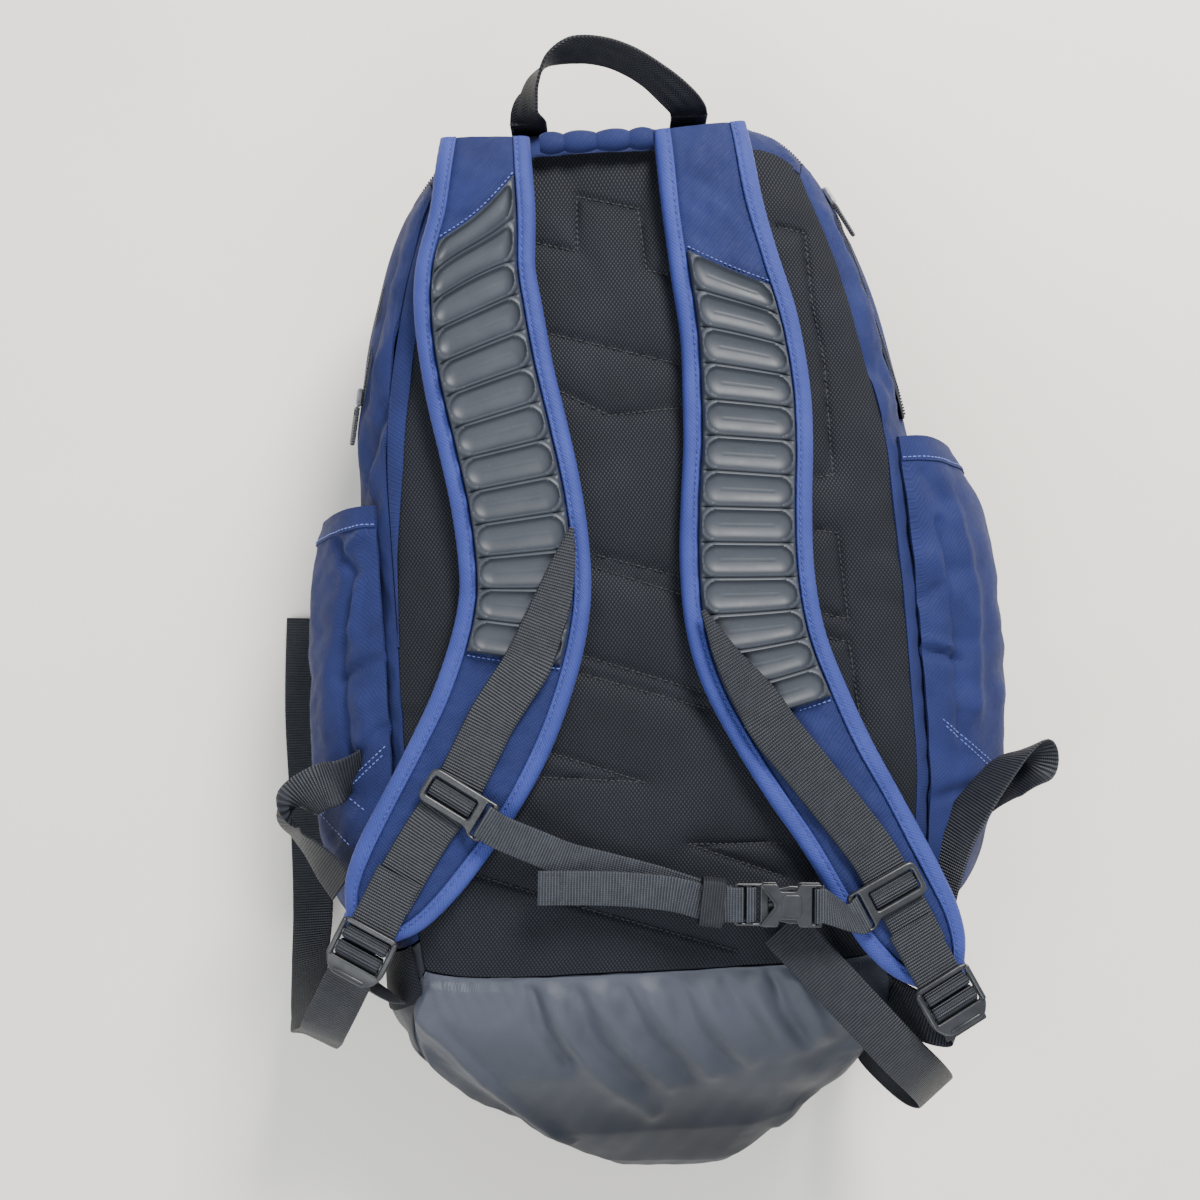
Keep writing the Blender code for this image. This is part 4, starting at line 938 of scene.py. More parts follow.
def slack(name, grid, outward, extra, push, most, stride=2):
    """How far a sheet's points move, in millimetres, once it is cut extra too large for its pinned edges.

    A cloth simulation on every stride-th point finds the wrinkles. push is the pressure of the air behind
    the sheet and most the furthest that a point may move.
    """
    rows, cols = np.arange(0, grid.shape[0], stride), np.arange(0, grid.shape[1], stride)
    coarse = grid[np.ix_(rows, cols)]
    normal = grid_normals(coarse, outward)
    at = np.arange(coarse.shape[0] * coarse.shape[1]).reshape(coarse.shape[:2])
    faces = grid_faces(at)
    if (turned_normals(coarse) * normal).sum() < 0:
        faces = faces[:, ::-1]
    uneven = 0.15 * ripple(coarse[..., 0] + coarse[..., 2], coarse[..., 1], 30.0, 90)
    start = coarse + normal * uneven[..., None]
    mesh = bpy.data.meshes.new(name)
    mesh.from_pydata((start.reshape(-1, 3) * MM).tolist(), [], faces.tolist())
    sheet = bpy.data.objects.new(name, mesh)
    scene.collection.objects.link(sheet)
    edge = np.concatenate([at[:2].ravel(), at[-2:].ravel(), at[:, :2].ravel(), at[:, -2:].ravel()])
    pins = sheet.vertex_groups.new(name="pins")
    pins.add(np.unique(edge).tolist(), 1.0, "REPLACE")
    sim = sheet.modifiers.new("cloth", "CLOTH")
    sim.settings.quality = 6
    sim.settings.mass = 0.004
    sim.settings.tension_stiffness = 12.0
    sim.settings.compression_stiffness = 12.0
    sim.settings.bending_stiffness = 0.02
    sim.settings.vertex_group_mass = "pins"
    sim.settings.shrink_min = -extra
    sim.settings.use_pressure = True
    sim.settings.uniform_pressure_force = push
    sim.settings.effector_weights.gravity = 0.0
    for step in range(1, SLACK_FRAMES + 1):
        scene.frame_set(step)
    found = sheet.evaluated_get(bpy.context.evaluated_depsgraph_get()).data
    after = np.zeros(len(found.vertices) * 3)
    found.vertices.foreach_get("co", after)
    after = after.reshape(coarse.shape) / MM
    rise = np.clip(((after - coarse) * normal).sum(-1), -most, most)
    bpy.data.objects.remove(sheet)
    scene.frame_set(1)
    fine_rows = read(np.arange(grid.shape[0]), rows, rise)
    return read(np.arange(grid.shape[1]), cols, fine_rows.T).T


# ---------------------------------------------------------------- back panel, top, front and sides

# Quilted seams: a narrow line in a wide hollow
SEAM_DEPTH, SEAM_WIDTH = 1.9, 1.4
HOLLOW_DEPTH, HOLLOW_WIDTH = 1.5, 8.0
PANEL_SWELL = 0.8
# How far the panel's mesh is drawn over the top edge
EDGE_PULL = 4.5

grid = panel_grid((2, 1), (-EDGE, EDGE), (-EDGE, EDGE), (129, 211))
plan = grid[..., :2]
x, y = plan[..., 0], plan[..., 1]
normal = grid_normals(grid, (0, 0, 1))
rise = folds(plan, PANEL_FOLDS)
for line in QUILT:
    near = gap_to(plan, line)
    rise += -SEAM_DEPTH * np.exp(-(near / SEAM_WIDTH) ** 2) - HOLLOW_DEPTH * np.exp(-(near / HOLLOW_WIDTH) ** 2)
rise += 0.6 * ripple(x * 0.6, y * 1.5, 46.0, 3) + 0.2 * ripple(x, y, 15.0, 4)
rise = np.minimum(rise, PANEL_SWELL)
weave = np.concatenate([plan, 0 * plan[..., :1]], -1)
grid[..., 1] += EDGE_PULL * np.clip((y - 212.0) / 18.0, 0.0, 1.0)
back = cloth("back_mesh_panel", grid + normal * rise[..., None], BACK_FOAM, knit, (0, 0, 1), None, weave)
settle(back, "pack", "mesh", "back_panel")
back_tree = tree_of(back)
quilt_runs = [dropped(back_tree, line, 0.1) for line in QUILT]
sew("quilt_stitches", quilt_runs, dark_thread, "pack", "mesh", 3.2, 2.3, 0.42)

# The left side's cloth laps over the edge of the mesh
up_side = np.linspace(-0.1, 0.98, 110)
lap = np.interp(up_side, [-0.1, 0.12, 0.3, 0.48, 0.78, 0.98], [-0.993, -0.965, -0.9, -0.875, -0.875, -0.93])
across = -EDGE + (lap + EDGE)[:, None] * np.linspace(0.0, 1.0, 9)[None, :]
grid = bag_point(across, up_side[:, None], 1.0)
sunk = 0.9 * np.clip((up_side + 0.1) / 0.2, 0.0, 1.0)[:, None]
grid[..., 2] += sunk + 0.4 * np.sin(np.linspace(0, math.pi, 9))[None, :]
lapped = cloth("left_lap_cloth", grid, 1.0, navy, (0, 0, 1))
settle(lapped, "pack", "navy")

grid = panel_grid((2, -1), (-0.975, 0.975), (-0.965, 0.98), (61, 101))
front = cloth("front_cloth", grid, FABRIC, navy, (0, 0, -1))
settle(front, "pack", "navy", "front_panel")

grid = panel_grid((1, 1), (-EDGE, EDGE), (-EDGE, EDGE), (121, 61))
normal = grid_normals(grid, (0, 1, 0))
rise = 1.4 * ripple(grid[..., 0], grid[..., 2], 48.0, 8) + 0.5 * ripple(grid[..., 0], grid[..., 2], 19.0, 9)
rise += 0.5 * slack("top_slack", grid, (0, 1, 0), 0.02, 6.0, 2.5)
top = cloth("top_cloth", grid + normal * rise[..., None], FABRIC, navy, (0, 1, 0))
settle(top, "pack", "navy", "top_panel")

grid = panel_grid((1, -1), (-EDGE, EDGE), (-EDGE, EDGE), (191, 151))
normal = grid_normals(grid, (0, -1, 0))
plan = grid[..., :2]
# below is the length from the seam, facing fades the folds out towards the floor, fade towards the sides
below = np.maximum(-200.0 - plan[..., 1], 0.0)
facing = np.clip((grid[..., 2] - 40.0) / 30.0, 0.0, 1.0)
fade = np.clip((1 - np.abs(np.linspace(-1, 1, 191)))[:, None] / 0.1, 0.0, 1.0)
rise = folds(plan, BOOT_FOLDS) * np.clip(below / 6.0, 0.2, 1.0) * np.clip(fade * 2, 0, 1) * facing
pleats = np.sin((plan[..., 0] + 0.5 * plan[..., 1]) * 2 * math.pi / 8.0 + 1.2 * np.sin(plan[..., 0] / 17.0))
rise += 0.2 * pleats * np.exp(-((below - 10.0) / 10.0) ** 2) * fade * facing
rise += 6.0 * (below / 30.0) * np.exp(1 - below / 30.0) * fade * facing
x, y = plan[..., 0], plan[..., 1]
rise += (1.0 * ripple(x, y, 60.0, 12) + 0.3 * ripple(x, y, 19.0, 13)) * fade
rise += 0.3 * slack("boot_slack", grid, (0, -1, 0), 0.02, 6.0, 3.0) * fade
boot = cloth("boot_cloth", grid + normal * rise[..., None], FABRIC, boot_look, (0, -1, 0))
settle(boot, "pack", "boot", "bottom_boot")

# Folds of the upper sides and of the boot's sides, in (length, height): (line, width, height)
SIDE_FOLDS = {
    "left": [
        ([(205, 150), (120, 152)], 7, 2.2), ([(190, 138), (90, 140)], 7, -3.0),
        ([(150, 160), (80, 130)], 5, 2.6), ([(108, 158), (70, 140)], 4, -3.4),
        ([(100, 163), (66, 150)], 4, 2.4), ([(230, 120), (120, 110)], 12, 2.5),
        ([(215, 90), (90, 70)], 14, -2.0),
    ],
    "right": [
        ([(215, 160), (120, 158)], 5, -2.2), ([(200, 148), (100, 144)], 6, 3.0),
        ([(190, 136), (95, 128)], 6, -3.4), ([(150, 152), (92, 156)], 4, 1.8),
        ([(225, 116), (110, 112)], 10, 2.8), ([(120, 160), (90, 132)], 5, -2.4),
    ],
}
BOOT_SIDE_FOLDS = [([(-212, 130), (-226, 100)], 5, 1.4), ([(-228, 132), (-246, 92)], 5, -1.6),
                   ([(-246, 120), (-262, 80)], 6, 1.5), ([(-268, 100), (-284, 60)], 6, -1.4),
                   ([(-205, 100), (-212, 60)], 7, -1.2), ([(-240, 70), (-262, 40)], 8, 1.2)]
for word, sign in SIDES:
    c = spread(-EDGE, EDGE, 75, 0.5)[:, None]
    cut = BOOT_CUT / stations(LOWER_END, c)
    upper = cut + 0.004 + (EDGE - cut - 0.004) * spread(0.0, 1.0, 121, 0.4)[None, :]
    grid = bag_point(float(sign), upper, c)
    normal = grid_normals(grid, (sign, 0, 0))
    rise = folds(grid[..., 1:], SIDE_FOLDS[word])
    rise += 0.9 * ripple(grid[..., 1], grid[..., 2], 52.0, 20 + sign) * np.clip((grid[..., 1] - 30) / 30, 0, 1)
    rise += 0.6 * slack(word + "_side_slack", grid, (sign, 0, 0), 0.02, 5.0, 3.0)
    side = cloth(word + "_side_cloth", grid + normal * rise[..., None], FABRIC, navy, (sign, 0, 0))
    settle(side, "pack", "navy", word + "_side_panel")
    lower = -EDGE + (cut - 0.004 + EDGE) * spread(0.0, 1.0, 71, 0.4)[None, :]
    grid = bag_point(float(sign), lower, c)
    normal = grid_normals(grid, (sign, 0, 0))
    rise = folds(grid[..., 1:], BOOT_SIDE_FOLDS) + 0.8 * ripple(grid[..., 1], grid[..., 2], 40.0, 30 + sign)
    side = cloth(word + "_boot_cloth", grid + normal * rise[..., None], FABRIC, boot_side_look, (sign, 0, 0))
    settle(side, "pack", "boot", word + "_boot_side")

# A piped welt where the boot's back meets its sides
WELT_POINTS, WELT_AROUND = 90, 8
for word, sign in SIDES:
    at = np.arange(WELT_POINTS)
    spots = bag_point(float(sign), -1.0, np.linspace(-0.9, 0.97, WELT_POINTS))
    ring = 2 * math.pi * np.arange(WELT_AROUND) / WELT_AROUND
    way = unit(np.gradient(spots, axis=0))
    out = unit(np.cross(way, np.cross((sign, -0.8, 0.2), way)))
    third = np.cross(way, out)
    size = 1.1 + 0.15 * np.sin(at * 0.9)
    centre = spots + out * 0.2
    rings = (centre[:, None, :] + out[:, None, :] * (np.cos(ring)[None, :, None] * size[:, None, None])
             + third[:, None, :] * (np.sin(ring)[None, :, None] * size[:, None, None]))
    uv = np.stack(np.broadcast_arrays((ring * 1.2 * MM)[None, :], (at * 2.4 * MM)[:, None]), -1)
    settle(swept(word + "_boot_welt", rings, boot_side_look, uv), "pack", "boot")


# ---------------------------------------------------------------- side pockets

LEFT_BULGE = [(-182, 1), (-172, 20), (-150, 31), (-72, 36), (-3, 32), (40, 24), (62, 18)]
RIGHT_BULGE = [(-182, 1), (-172, 18), (-126, 32), (-60, 40), (0, 41), (40, 38), (66, 26), (86, 18)]
# Folds of the pockets, in (length, girth from the back edge): (line, width, height)
POCKET_FOLDS = {
    "left": [
        ([(38, 30), (22, 18), (-6, 26), (-34, 34)], 6, -3.2), ([(34, 22), (44, 8)], 5, 2.6),
        ([(16, 14), (-10, 22)], 5, 2.6), ([(-36, 34), (-26, 6)], 4.5, -3.0),
        ([(-40, 30), (-70, 30), (-84, 24)], 5, -3.2), ([(-82, 24), (-64, 4)], 4, -2.6),
        ([(-50, 16), (-72, 12)], 7, 2.4), ([(-30, 44), (-90, 48)], 12, 2.0),
        ([(20, 60), (-120, 66)], 16, 1.6), ([(-130, 20), (-150, 60)], 8, -2.2),
    ],
    "right": [
        ([(34, 20), (0, 24), (-38, 24), (-84, 22)], 4.5, -3.4), ([(40, 34), (-10, 40), (-70, 36)], 7, 2.4),
        ([(-37, 4), (-43, 26)], 3.6, -2.8), ([(-31, 4), (-36, 22)], 4, 1.8), ([(-10, 2), (-2, 14)], 4, -2.0),
        ([(14, 12), (-20, 36)], 8, 1.6), ([(-118, 6), (-112, 32)], 5, -2.0), ([(60, 14), (40, 30)], 7, -1.8),
        ([(20, 60), (-120, 64)], 16, 1.6),
    ],
}
FOLD_NARROWER, FOLD_HIGHER = 0.72, 1.15
# Rows of the pocket's grid that its turned hem covers
HEM_ROWS = 9
for word, sign, hem, bulge in (("left", -1, 60, LEFT_BULGE), ("right", 1, 84, RIGHT_BULGE)):
    bulge_line = smoothed(bulge, 7.0)
    part = np.linspace(0.0, 1.0, 81)[None, :]
    c = 0.93 - 1.73 * part
    down = spread(0.0, 1.0, 131, 0.2)[:, None]
    y = hem - 10 * np.sin(math.pi * part) + (BOOT_CUT + 6 - hem) * down
    b = y / np.where(y > 0, TOP_REACH, stations(LOWER_END, c))
    grid = bag_point(float(sign), b, c)
    out = np.interp(y, *bulge_line) * np.sin(math.pi * np.clip(part, 0, 1)) ** 0.75
    grid[..., 0] += sign * (out + FABRIC + 0.9)
    girth = np.cumsum(np.linalg.norm(np.diff(grid, axis=1), axis=2), axis=1)
    girth = np.concatenate([np.zeros((len(girth), 1)), girth], 1)
    normal = grid_normals(grid, (sign, 0, 0))
    flat = np.stack([np.broadcast_to(y, girth.shape), girth], -1)
    fade = np.clip(down / 0.05, 0.25, 1.0) * np.clip((1 - down) / 0.06, 0.0, 1.0)
    crisp = [(line, FOLD_NARROWER * width, FOLD_HIGHER * height) for line, width, height in POCKET_FOLDS[word]]
    rise = folds(flat, crisp) * fade
    rise += 0.7 * ripple(flat[..., 0], flat[..., 1], 44.0, 40 + sign) * fade
    rise += 0.35 * ripple(flat[..., 0], flat[..., 1] * 0.7, 15.0, 44 + sign) * fade
    rise += 0.4 * slack(word + "_pocket_slack", grid, (sign, 0, 0), 0.02, 6.0, 3.2) * fade
    grid = grid + normal * rise[..., None]
    piece = cloth(word + "_pocket_cloth", grid, FABRIC * 0.75, navy, (sign, 0, 0))
    settle(piece, "pack", "navy", word + "_pocket")
    # The turned hem: a second layer along the mouth, and its row of thread
    normal = grid_normals(grid, (sign, 0, 0))
    band = grid[:HEM_ROWS] + normal[:HEM_ROWS] * 0.9
    settle(cloth(word + "_pocket_hem", band, 1.6, navy, (sign, 0, 0)), "pack", "navy")
    run = grid[HEM_ROWS - 2] + normal[HEM_ROWS - 2] * 1.05
    sew(word + "_hem_stitches", [run], pale_thread, "pack", "navy", 3.2, 2.4, 0.38, (sign, 0, 0.3))

# Seams at the feet of the pockets, in plan: a triangle on the left one and a slant on the right one
POCKET_SEAMS = {
    "left": [[(-139, -72), (-184, -110)], [(-184, -110), (-164, -127)], [(-165, -99), (-153, -107)],
             [(-141, -77), (-181, -111)]],
    "right": [[(160, -73), (191, -100)], [(162, -77), (190, -103)]],
}
for word, lines in POCKET_SEAMS.items():
    tree = tree_of(bpy.data.objects[word + "_pocket_cloth"])
    runs = [run for run in (dropped(tree, line, 0.15) for line in lines) if len(run) > 3]
    sew(word + "_pocket_stitches", runs, pale_thread, "pack", "navy", 3.0, 2.1, 0.36)

# Net gussets below the pockets
for word, sign in SIDES:
    c = np.linspace(0.1, 0.97, 36)[None, :]
    spots = np.linspace(-187, -224, 20)[:, None] / stations(LOWER_END, c)
    net = cloth(word + "_gusset_net", bag_point(float(sign), spots, c, -2.6), 1.1, knit, (sign, 0, 0))
    settle(net, "pack", "mesh", word + "_gusset")


# ---------------------------------------------------------------- top roll and zip

# The scalloped roll: its left end and length along X, and its middle line
ROLL_START, ROLL_LENGTH = -40, 60
ROLL_Y, ROLL_Z = 242, 171.0
count, around = 121, 20
t = np.linspace(0.0, 1.0, count)
turn = 2 * math.pi * np.arange(around) / around
swell = 3.5 + 1.5 * np.abs(np.sin(4 * math.pi * t + 0.5 * np.sin(2 * math.pi * t))) ** 0.7
rings = np.zeros((count, around, 3))
rings[..., 0] = (ROLL_START + ROLL_LENGTH * t)[:, None]
rings[..., 1] = ROLL_Y + swell[:, None] * 1.2 * np.cos(turn)[None, :]
rings[..., 2] = ROLL_Z + swell[:, None] * np.sin(turn)[None, :]
uv = np.stack(np.broadcast_arrays(turn[None, :] * 5 * MM, (ROLL_LENGTH * t * MM)[:, None]), -1)
roll = swept("top_roll_cloth", rings, navy, uv)
settle(roll, "pack", "navy", "top_edge_roll")


def zip_line(count, inset, height, reach=0.36):
    """Points along the zip, up one side, over the top and down the other."""
    up = np.linspace(reach, 1.0, count)
    over = np.linspace(-1.0, 1.0, count + 4)[1:-1]
    a = np.concatenate([np.full(count, -1.0), over, np.full(count, 1.0)])
    b = np.concatenate([up, np.ones(len(over)), up[::-1]])
    return bag_point(a, b, height, inset)


# Box heights of the teeth and of the tape's rows
ZIP_HEIGHT = 0.51
ZIP_HEIGHTS = np.linspace(0.56, 0.46, 9)
TOOTH_PITCH = 1.7
rows = np.stack([zip_line(90, -1.6, h) for h in ZIP_HEIGHTS])
outward = rows - rows.mean(axis=(0, 1))
outward[..., 2] = 0
under = np.stack([zip_line(90, -0.5, h) for h in ZIP_HEIGHTS])
zip_tape = cloth("zip_tape_cloth", rows, 1.1, fine_web, unit(outward), under)
settle(zip_tape, "pack", "webbing", "main_zip_tape")
line = zip_line(120, -2.1, ZIP_HEIGHT)
high = zip_line(120, -2.1, 0.56)
reach = lengths(line)
want = np.arange(2.0, reach[-1] - 2.0, TOOTH_PITCH)
cross = unit(read(want, reach, high - line))
settle(capsules("zip_teeth", read(want, reach, line), cross, plastic, 5.0, 0.62), "pack", "webbing")

for word in ("left", "right"):
    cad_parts[word + "_zip_slider"].data.materials[0] = steel


def zip_pull(word, sign, along):
    """A webbing pull tab on the zip, hung in its slider."""
    b = along / TOP_REACH
    spot = Vector(bag_point(float(sign), b, ZIP_HEIGHT, -1.9))
    ahead = Vector(bag_point(float(sign), b + 0.02, ZIP_HEIGHT, -1.9))
    way = (ahead - spot).normalized()
    face = Vector((float(sign), 0.0, 0.35)).normalized()
    cross = way.cross(face).normalized()
    where = placed(spot + face * 2.6, cross, way)
    hinge = where @ Matrix.Translation((0, -6.6, 0))
    outline = [(-3.4, 1.2), (3.4, 1.2), (3.4, -16.0), (2.2, -20.0), (-2.2, -20.0), (-3.4, -16.0)]
    tab = flat_moulding(softened(outline, 1.6), [rounded(1.7, 1.4, 0.5, (0, -1.8))], -1.0, 1.0, 0.35)
    piece = mesh_object(word + "_pull_tab", *moved(tab, hinge), fine_web, tab[0][:, :2] * MM)
    settle(piece, word + "_pull", "webbing", word + "_zip_pull")


zip_pull("right", 1, 225.0)
zip_pull("left", -1, 118.0)


# ---------------------------------------------------------------- shoulder straps

def strap_line(table, count):
    """(centres, side directions, half widths) along a strap, in plan."""
    rows = spline(table, count)
    way = unit(np.gradient(rows[:, :2], axis=0))
    return rows[:, :2], np.stack([-way[:, 1], way[:, 0]], -1), rows[:, 2]


# Section of the binding: (place across it as a share of its width, height above the strap's underside)
BINDING_SHAPE = np.array([
    (-0.50, 0.4), (-0.1, 0.05), (0.2, 0.3), (0.38, 1.3), (0.48, 3.0), (0.505, 5.6), (0.48, 8.2), (0.40, 9.9),
    (0.26, 11.0), (0.08, 11.55), (-0.10, 11.7), (-0.21, 11.45), (-0.28, 11.1), (-0.36, 11.45), (-0.44, 11.5),
    (-0.50, 11.0),
])
# Where the binding's thread runs across it
SEAM_AT = -0.28


def strap_body(word, table, body):
    """The padded strap: cloth-covered foam, its binding and the binding's thread."""
    centre, side, half = strap_line(table, 240)
    reach = lengths(centre)
    inside = half - BINDING + 0.9
    t = spread(-1.0, 1.0, 25, 0.3)[None, :]
    spot = centre[:, None, :] + side[:, None, :] * (t * inside[:, None])[..., None]
    x, y = spot[..., 0], spot[..., 1]
    edge = (1 - np.abs(t)) * inside[:, None]
    lift = STRAP_FOAM - 0.8 * t * t - 1.0 * np.exp(-(edge / 2.2) ** 2)
    pucker = np.sin(reach[:, None] * 2 * math.pi / 6.3 + 0.8 * np.sin(reach[:, None] / 11.0))
    lift = lift + 0.28 * pucker * np.exp(-(edge / 3.2) ** 2)
    loose = 0.55 * ripple(x, y, 24.0, 50 + len(table)) + 0.4 * ripple(x, y, 10.0, 51 + len(table))
    lift = lift + loose * (1 - np.exp(-(edge / 4.0) ** 2))
    grid = np.stack([x, y, strap_height(x, y) + lift], -1)
    under = np.stack([x, y, strap_height(x, y)], -1)
    foam = cloth(word + "_strap_cloth", grid, STRAP_FOAM, navy, (0, 0, 1), under)
    settle(foam, body, "navy", word + "_strap_foam")

    spots = [centre + side * (half - BINDING / 2)[:, None]]
    outs = [side]
    tip, tip_side, middle = centre[-1], side[-1], half[-1] - BINDING / 2
    down = np.array((tip_side[1], -tip_side[0]))
    down = -down if down[1] > 0 else down
    turn = np.linspace(0, math.pi, 22)[1:-1, None]
    round_way = tip_side * np.cos(turn) + down * np.sin(turn)
    spots.append(tip + round_way * middle)
    outs.append(round_way)
    spots.append((centre - side * (half - BINDING / 2)[:, None])[::-1])
    outs.append(-side[::-1])
    spot, out = np.concatenate(spots), np.concatenate(outs)
    reach = lengths(spot)
    across, up = BINDING_SHAPE[:, 0][None, :], BINDING_SHAPE[:, 1][None, :]
    gather = np.sin(reach[:, None] * 2 * math.pi / 5.7 + 1.3 * np.sin(reach[:, None] / 9.0))
    drift = ripple(reach[:, None], 0 * reach[:, None], 60.0, 70)
    near_seam = np.exp(-((across - SEAM_AT) / 0.22) ** 2) * (up > 8)
    rise = up + 0.22 * gather * near_seam + 0.25 * drift * (up > 4)
    wide = across * (BINDING + 0.35 * drift + 0.12 * gather * (across > 0.3))
    place = spot[:, None, :] + out[:, None, :] * wide[..., None]
    x, y = place[..., 0], place[..., 1]
    rings = np.stack([x, y, strap_height(x, y) + rise], -1)
    section = np.diff(BINDING_SHAPE, axis=0)
    around = np.concatenate([[0.0], np.cumsum(np.hypot(section[:, 0] * BINDING, section[:, 1]))])
    uv = np.stack(np.broadcast_arrays(around[None, :], reach[:, None]), -1) * MM
    binding = swept(word + "_strap_tape", rings, tape, uv)
    settle(binding, body, "binding", word + "_strap_binding")
    place = spot + out * (SEAM_AT * BINDING)
    run = np.stack([place[:, 0], place[:, 1], strap_height(place[:, 0], place[:, 1]) + 11.3], -1)
    sew(word + "_strap_stitches", [run], blue_thread, body, "binding", 3.3, 2.2, 0.42)


def strap_pods(word, table, span, slant, body):
    """The moulded pad: pill-shaped hollows with raised rims. It returns the plan places of its points."""
    centre, side, half = strap_line(table, 200)
    step = np.linalg.norm(np.diff(centre, axis=0), axis=1).sum() / 199
    first = int(np.argmax(centre[:, 1] < span[0]))
    last = int(np.argmax(centre[:, 1] < span[1]))
    pods = round((last - first) * step / POD_PITCH)
    fine = pods * 26 + 1
    n = np.linspace(0.0, 1.0, fine)
    middle = first + (last - first) * n
    at = np.arange(200)
    lean = stations(slant, np.interp(middle, at, centre[:, 1]))[:, None]
    k = spread(-1.0, 1.0, 63, 0.35)[None, :]
    spot_at = np.clip(middle[:, None] + k * 22.0 * lean / step, 0, 198.999)

    def here(values):
        return np.interp(spot_at, at, values)

    wide = here(half) - BINDING - 1.0
    x = here(centre[:, 0]) + here(side[:, 0]) * k * wide
    y = here(centre[:, 1]) + here(side[:, 1]) * k * wide
    pitch = (last - first) * step / pods
    cell = (n * pods) % 1.0
    cell[-1] = 1.0
    tilt = np.sqrt(1 + lean ** 2)
    local_y = ((cell - 0.5) * pitch)[:, None] / tilt
    local_x = k * wide * tilt
    radius = pitch / 2 / tilt - 1.7
    reach = np.maximum(wide * tilt - 1.9 - radius, 1.0)
    gap = np.hypot(np.maximum(np.abs(local_x) - reach, 0.0), local_y) - radius
    depth = np.clip(-gap / radius, 0.0, 1.0)
    hollow = POD_HEIGHT * 0.86 * np.sqrt(np.clip(1 - (1 - depth) ** 2, 0, 1))
    rim = 0.55 * np.exp(-((gap - 0.55) / 0.5) ** 2)
    groove = 0.9 * np.exp(-((np.abs(local_y) - pitch / 2 / tilt) / 0.35) ** 2)
    mould = 0.22 * np.exp(-(local_y / 0.3) ** 2) * (np.abs(local_x) < reach * 0.9)
    corner = 2.6 * np.clip((gap - 1.9) / 1.2, 0.0, 1.0)
    lift = POD_BASE + POD_HEIGHT - 0.55 - hollow + rim - groove + mould - corner
    border = np.minimum((1 - np.abs(k)) * wide, 1.0)
    ends = np.minimum(np.minimum(n, 1 - n)[:, None] * (last - first) * step, 1.2) / 1.2
    lift = POD_BASE * 0.4 + (lift - POD_BASE * 0.4) * np.clip(np.minimum(border / 0.8, ends), 0.0, 1.0)
    base = strap_top(x, y)
    grid = np.stack([x, y, base + POD_GAP + lift], -1)
    under = np.stack([x, y, base - 0.6], -1)
    pad = cloth(word + "_pod_pad", grid, 2.0, pod_look, (0, 0, 1), under)
    settle(pad, body, "pods", word + "_strap_pods")
    return x, y


def rail_web(word, table, body):
    """The webbing that runs down a strap."""
    rows = spline(table, 60)
    way = unit(np.gradient(rows[:, :2], axis=0))
    across = np.stack([-way[:, 1], way[:, 0]], -1)
    x, y = rows[:, 0], rows[:, 1]
    path = np.stack([x, y, strap_top(x, y) + rows[:, 2]], -1)
    tilt = (strap_top(x + across[:, 0] * 5, y + across[:, 1] * 5)
            - strap_top(x - across[:, 0] * 5, y - across[:, 1] * 5)) / 10
    sides = np.concatenate([across, tilt[:, None]], 1)
    widths = 2 * np.minimum(rows[:, 3], WEBBING / 2)
    web = Web(word + "_rail_web", path, sides, widths, WEB_THICK, web_look)
    settle(web.obj, body, "webbing", word + "_rail")
    return web


# How far outside the pad's ends its stitches run
PAD_SEAM = 2.2
rails = {}
for word, table, span, slant, rail_table in (
    ("left", LEFT_STRAP, LEFT_PODS, LEFT_SLANT, LEFT_RAIL),
    ("right", RIGHT_STRAP, RIGHT_PODS, RIGHT_SLANT, RIGHT_RAIL),
):
    body = word + "_strap"
    strap_body(word, table, body)
    px, py = strap_pods(word, table, span, slant, body)
    rails[word] = rail_web(word, rail_table, body)
    runs = []
    for row, off in ((-1, -PAD_SEAM), (0, PAD_SEAM)):
        x, y = px[row], py[row] + off
        runs.append(np.stack([x, y, strap_top(x, y) + 0.25], -1))
    sew(word + "_pad_stitches", runs, pale_thread, body, "navy", 2.6, 1.8, 0.36)

for word, web in rails.items():
    end = web.reach[-1]
    runs = web.box_stitch(end - 46.0, end - 4.0)
    runs += web.box_stitch(end - 41.0, end - 8.0, False)[2:4]
    sew(word + "_rail_stitches", runs, dark_thread, word + "_strap", "webbing", 2.8, 2.0, 0.42)


# ---------------------------------------------------------------- fittings on the straps

def on_rail(spot, up_way, lift):
    """The frame of a fitting on a strap: X across the strap to the right, Y up it, Z away from it."""
    x, y = spot
    here = strap_top(x, y)
    up = Vector((up_way[0] * 5, up_way[1] * 5, strap_top(x + up_way[0] * 5, y + up_way[1] * 5) - here))
    right = Vector((up_way[1], -up_way[0], 0.0))
    right.z = strap_top(x + right.x * 5, y + right.y * 5) / 5 - here / 5
    return placed((x, y, here + lift), right, up)


def axis(where, k):
    return where.to_3x3() @ Vector([float(j == k) for j in range(3)])


# Heights of the fittings' middles above the strap
SLIDER_LIFT, LOCK_LIFT = 3.3, 6.2
left_at = on_rail(LEFT_SLIDER, LEFT_SLIDER_UP, SLIDER_LIFT)
right_at = on_rail(RIGHT_SLIDER, RIGHT_SLIDER_UP, SLIDER_LIFT)
left_lock_at = on_rail(LEFT_LOCK, LEFT_LOCK_UP, LOCK_LIFT)
right_lock_at = on_rail(RIGHT_LOCK, RIGHT_LOCK_UP, LOCK_LIFT)


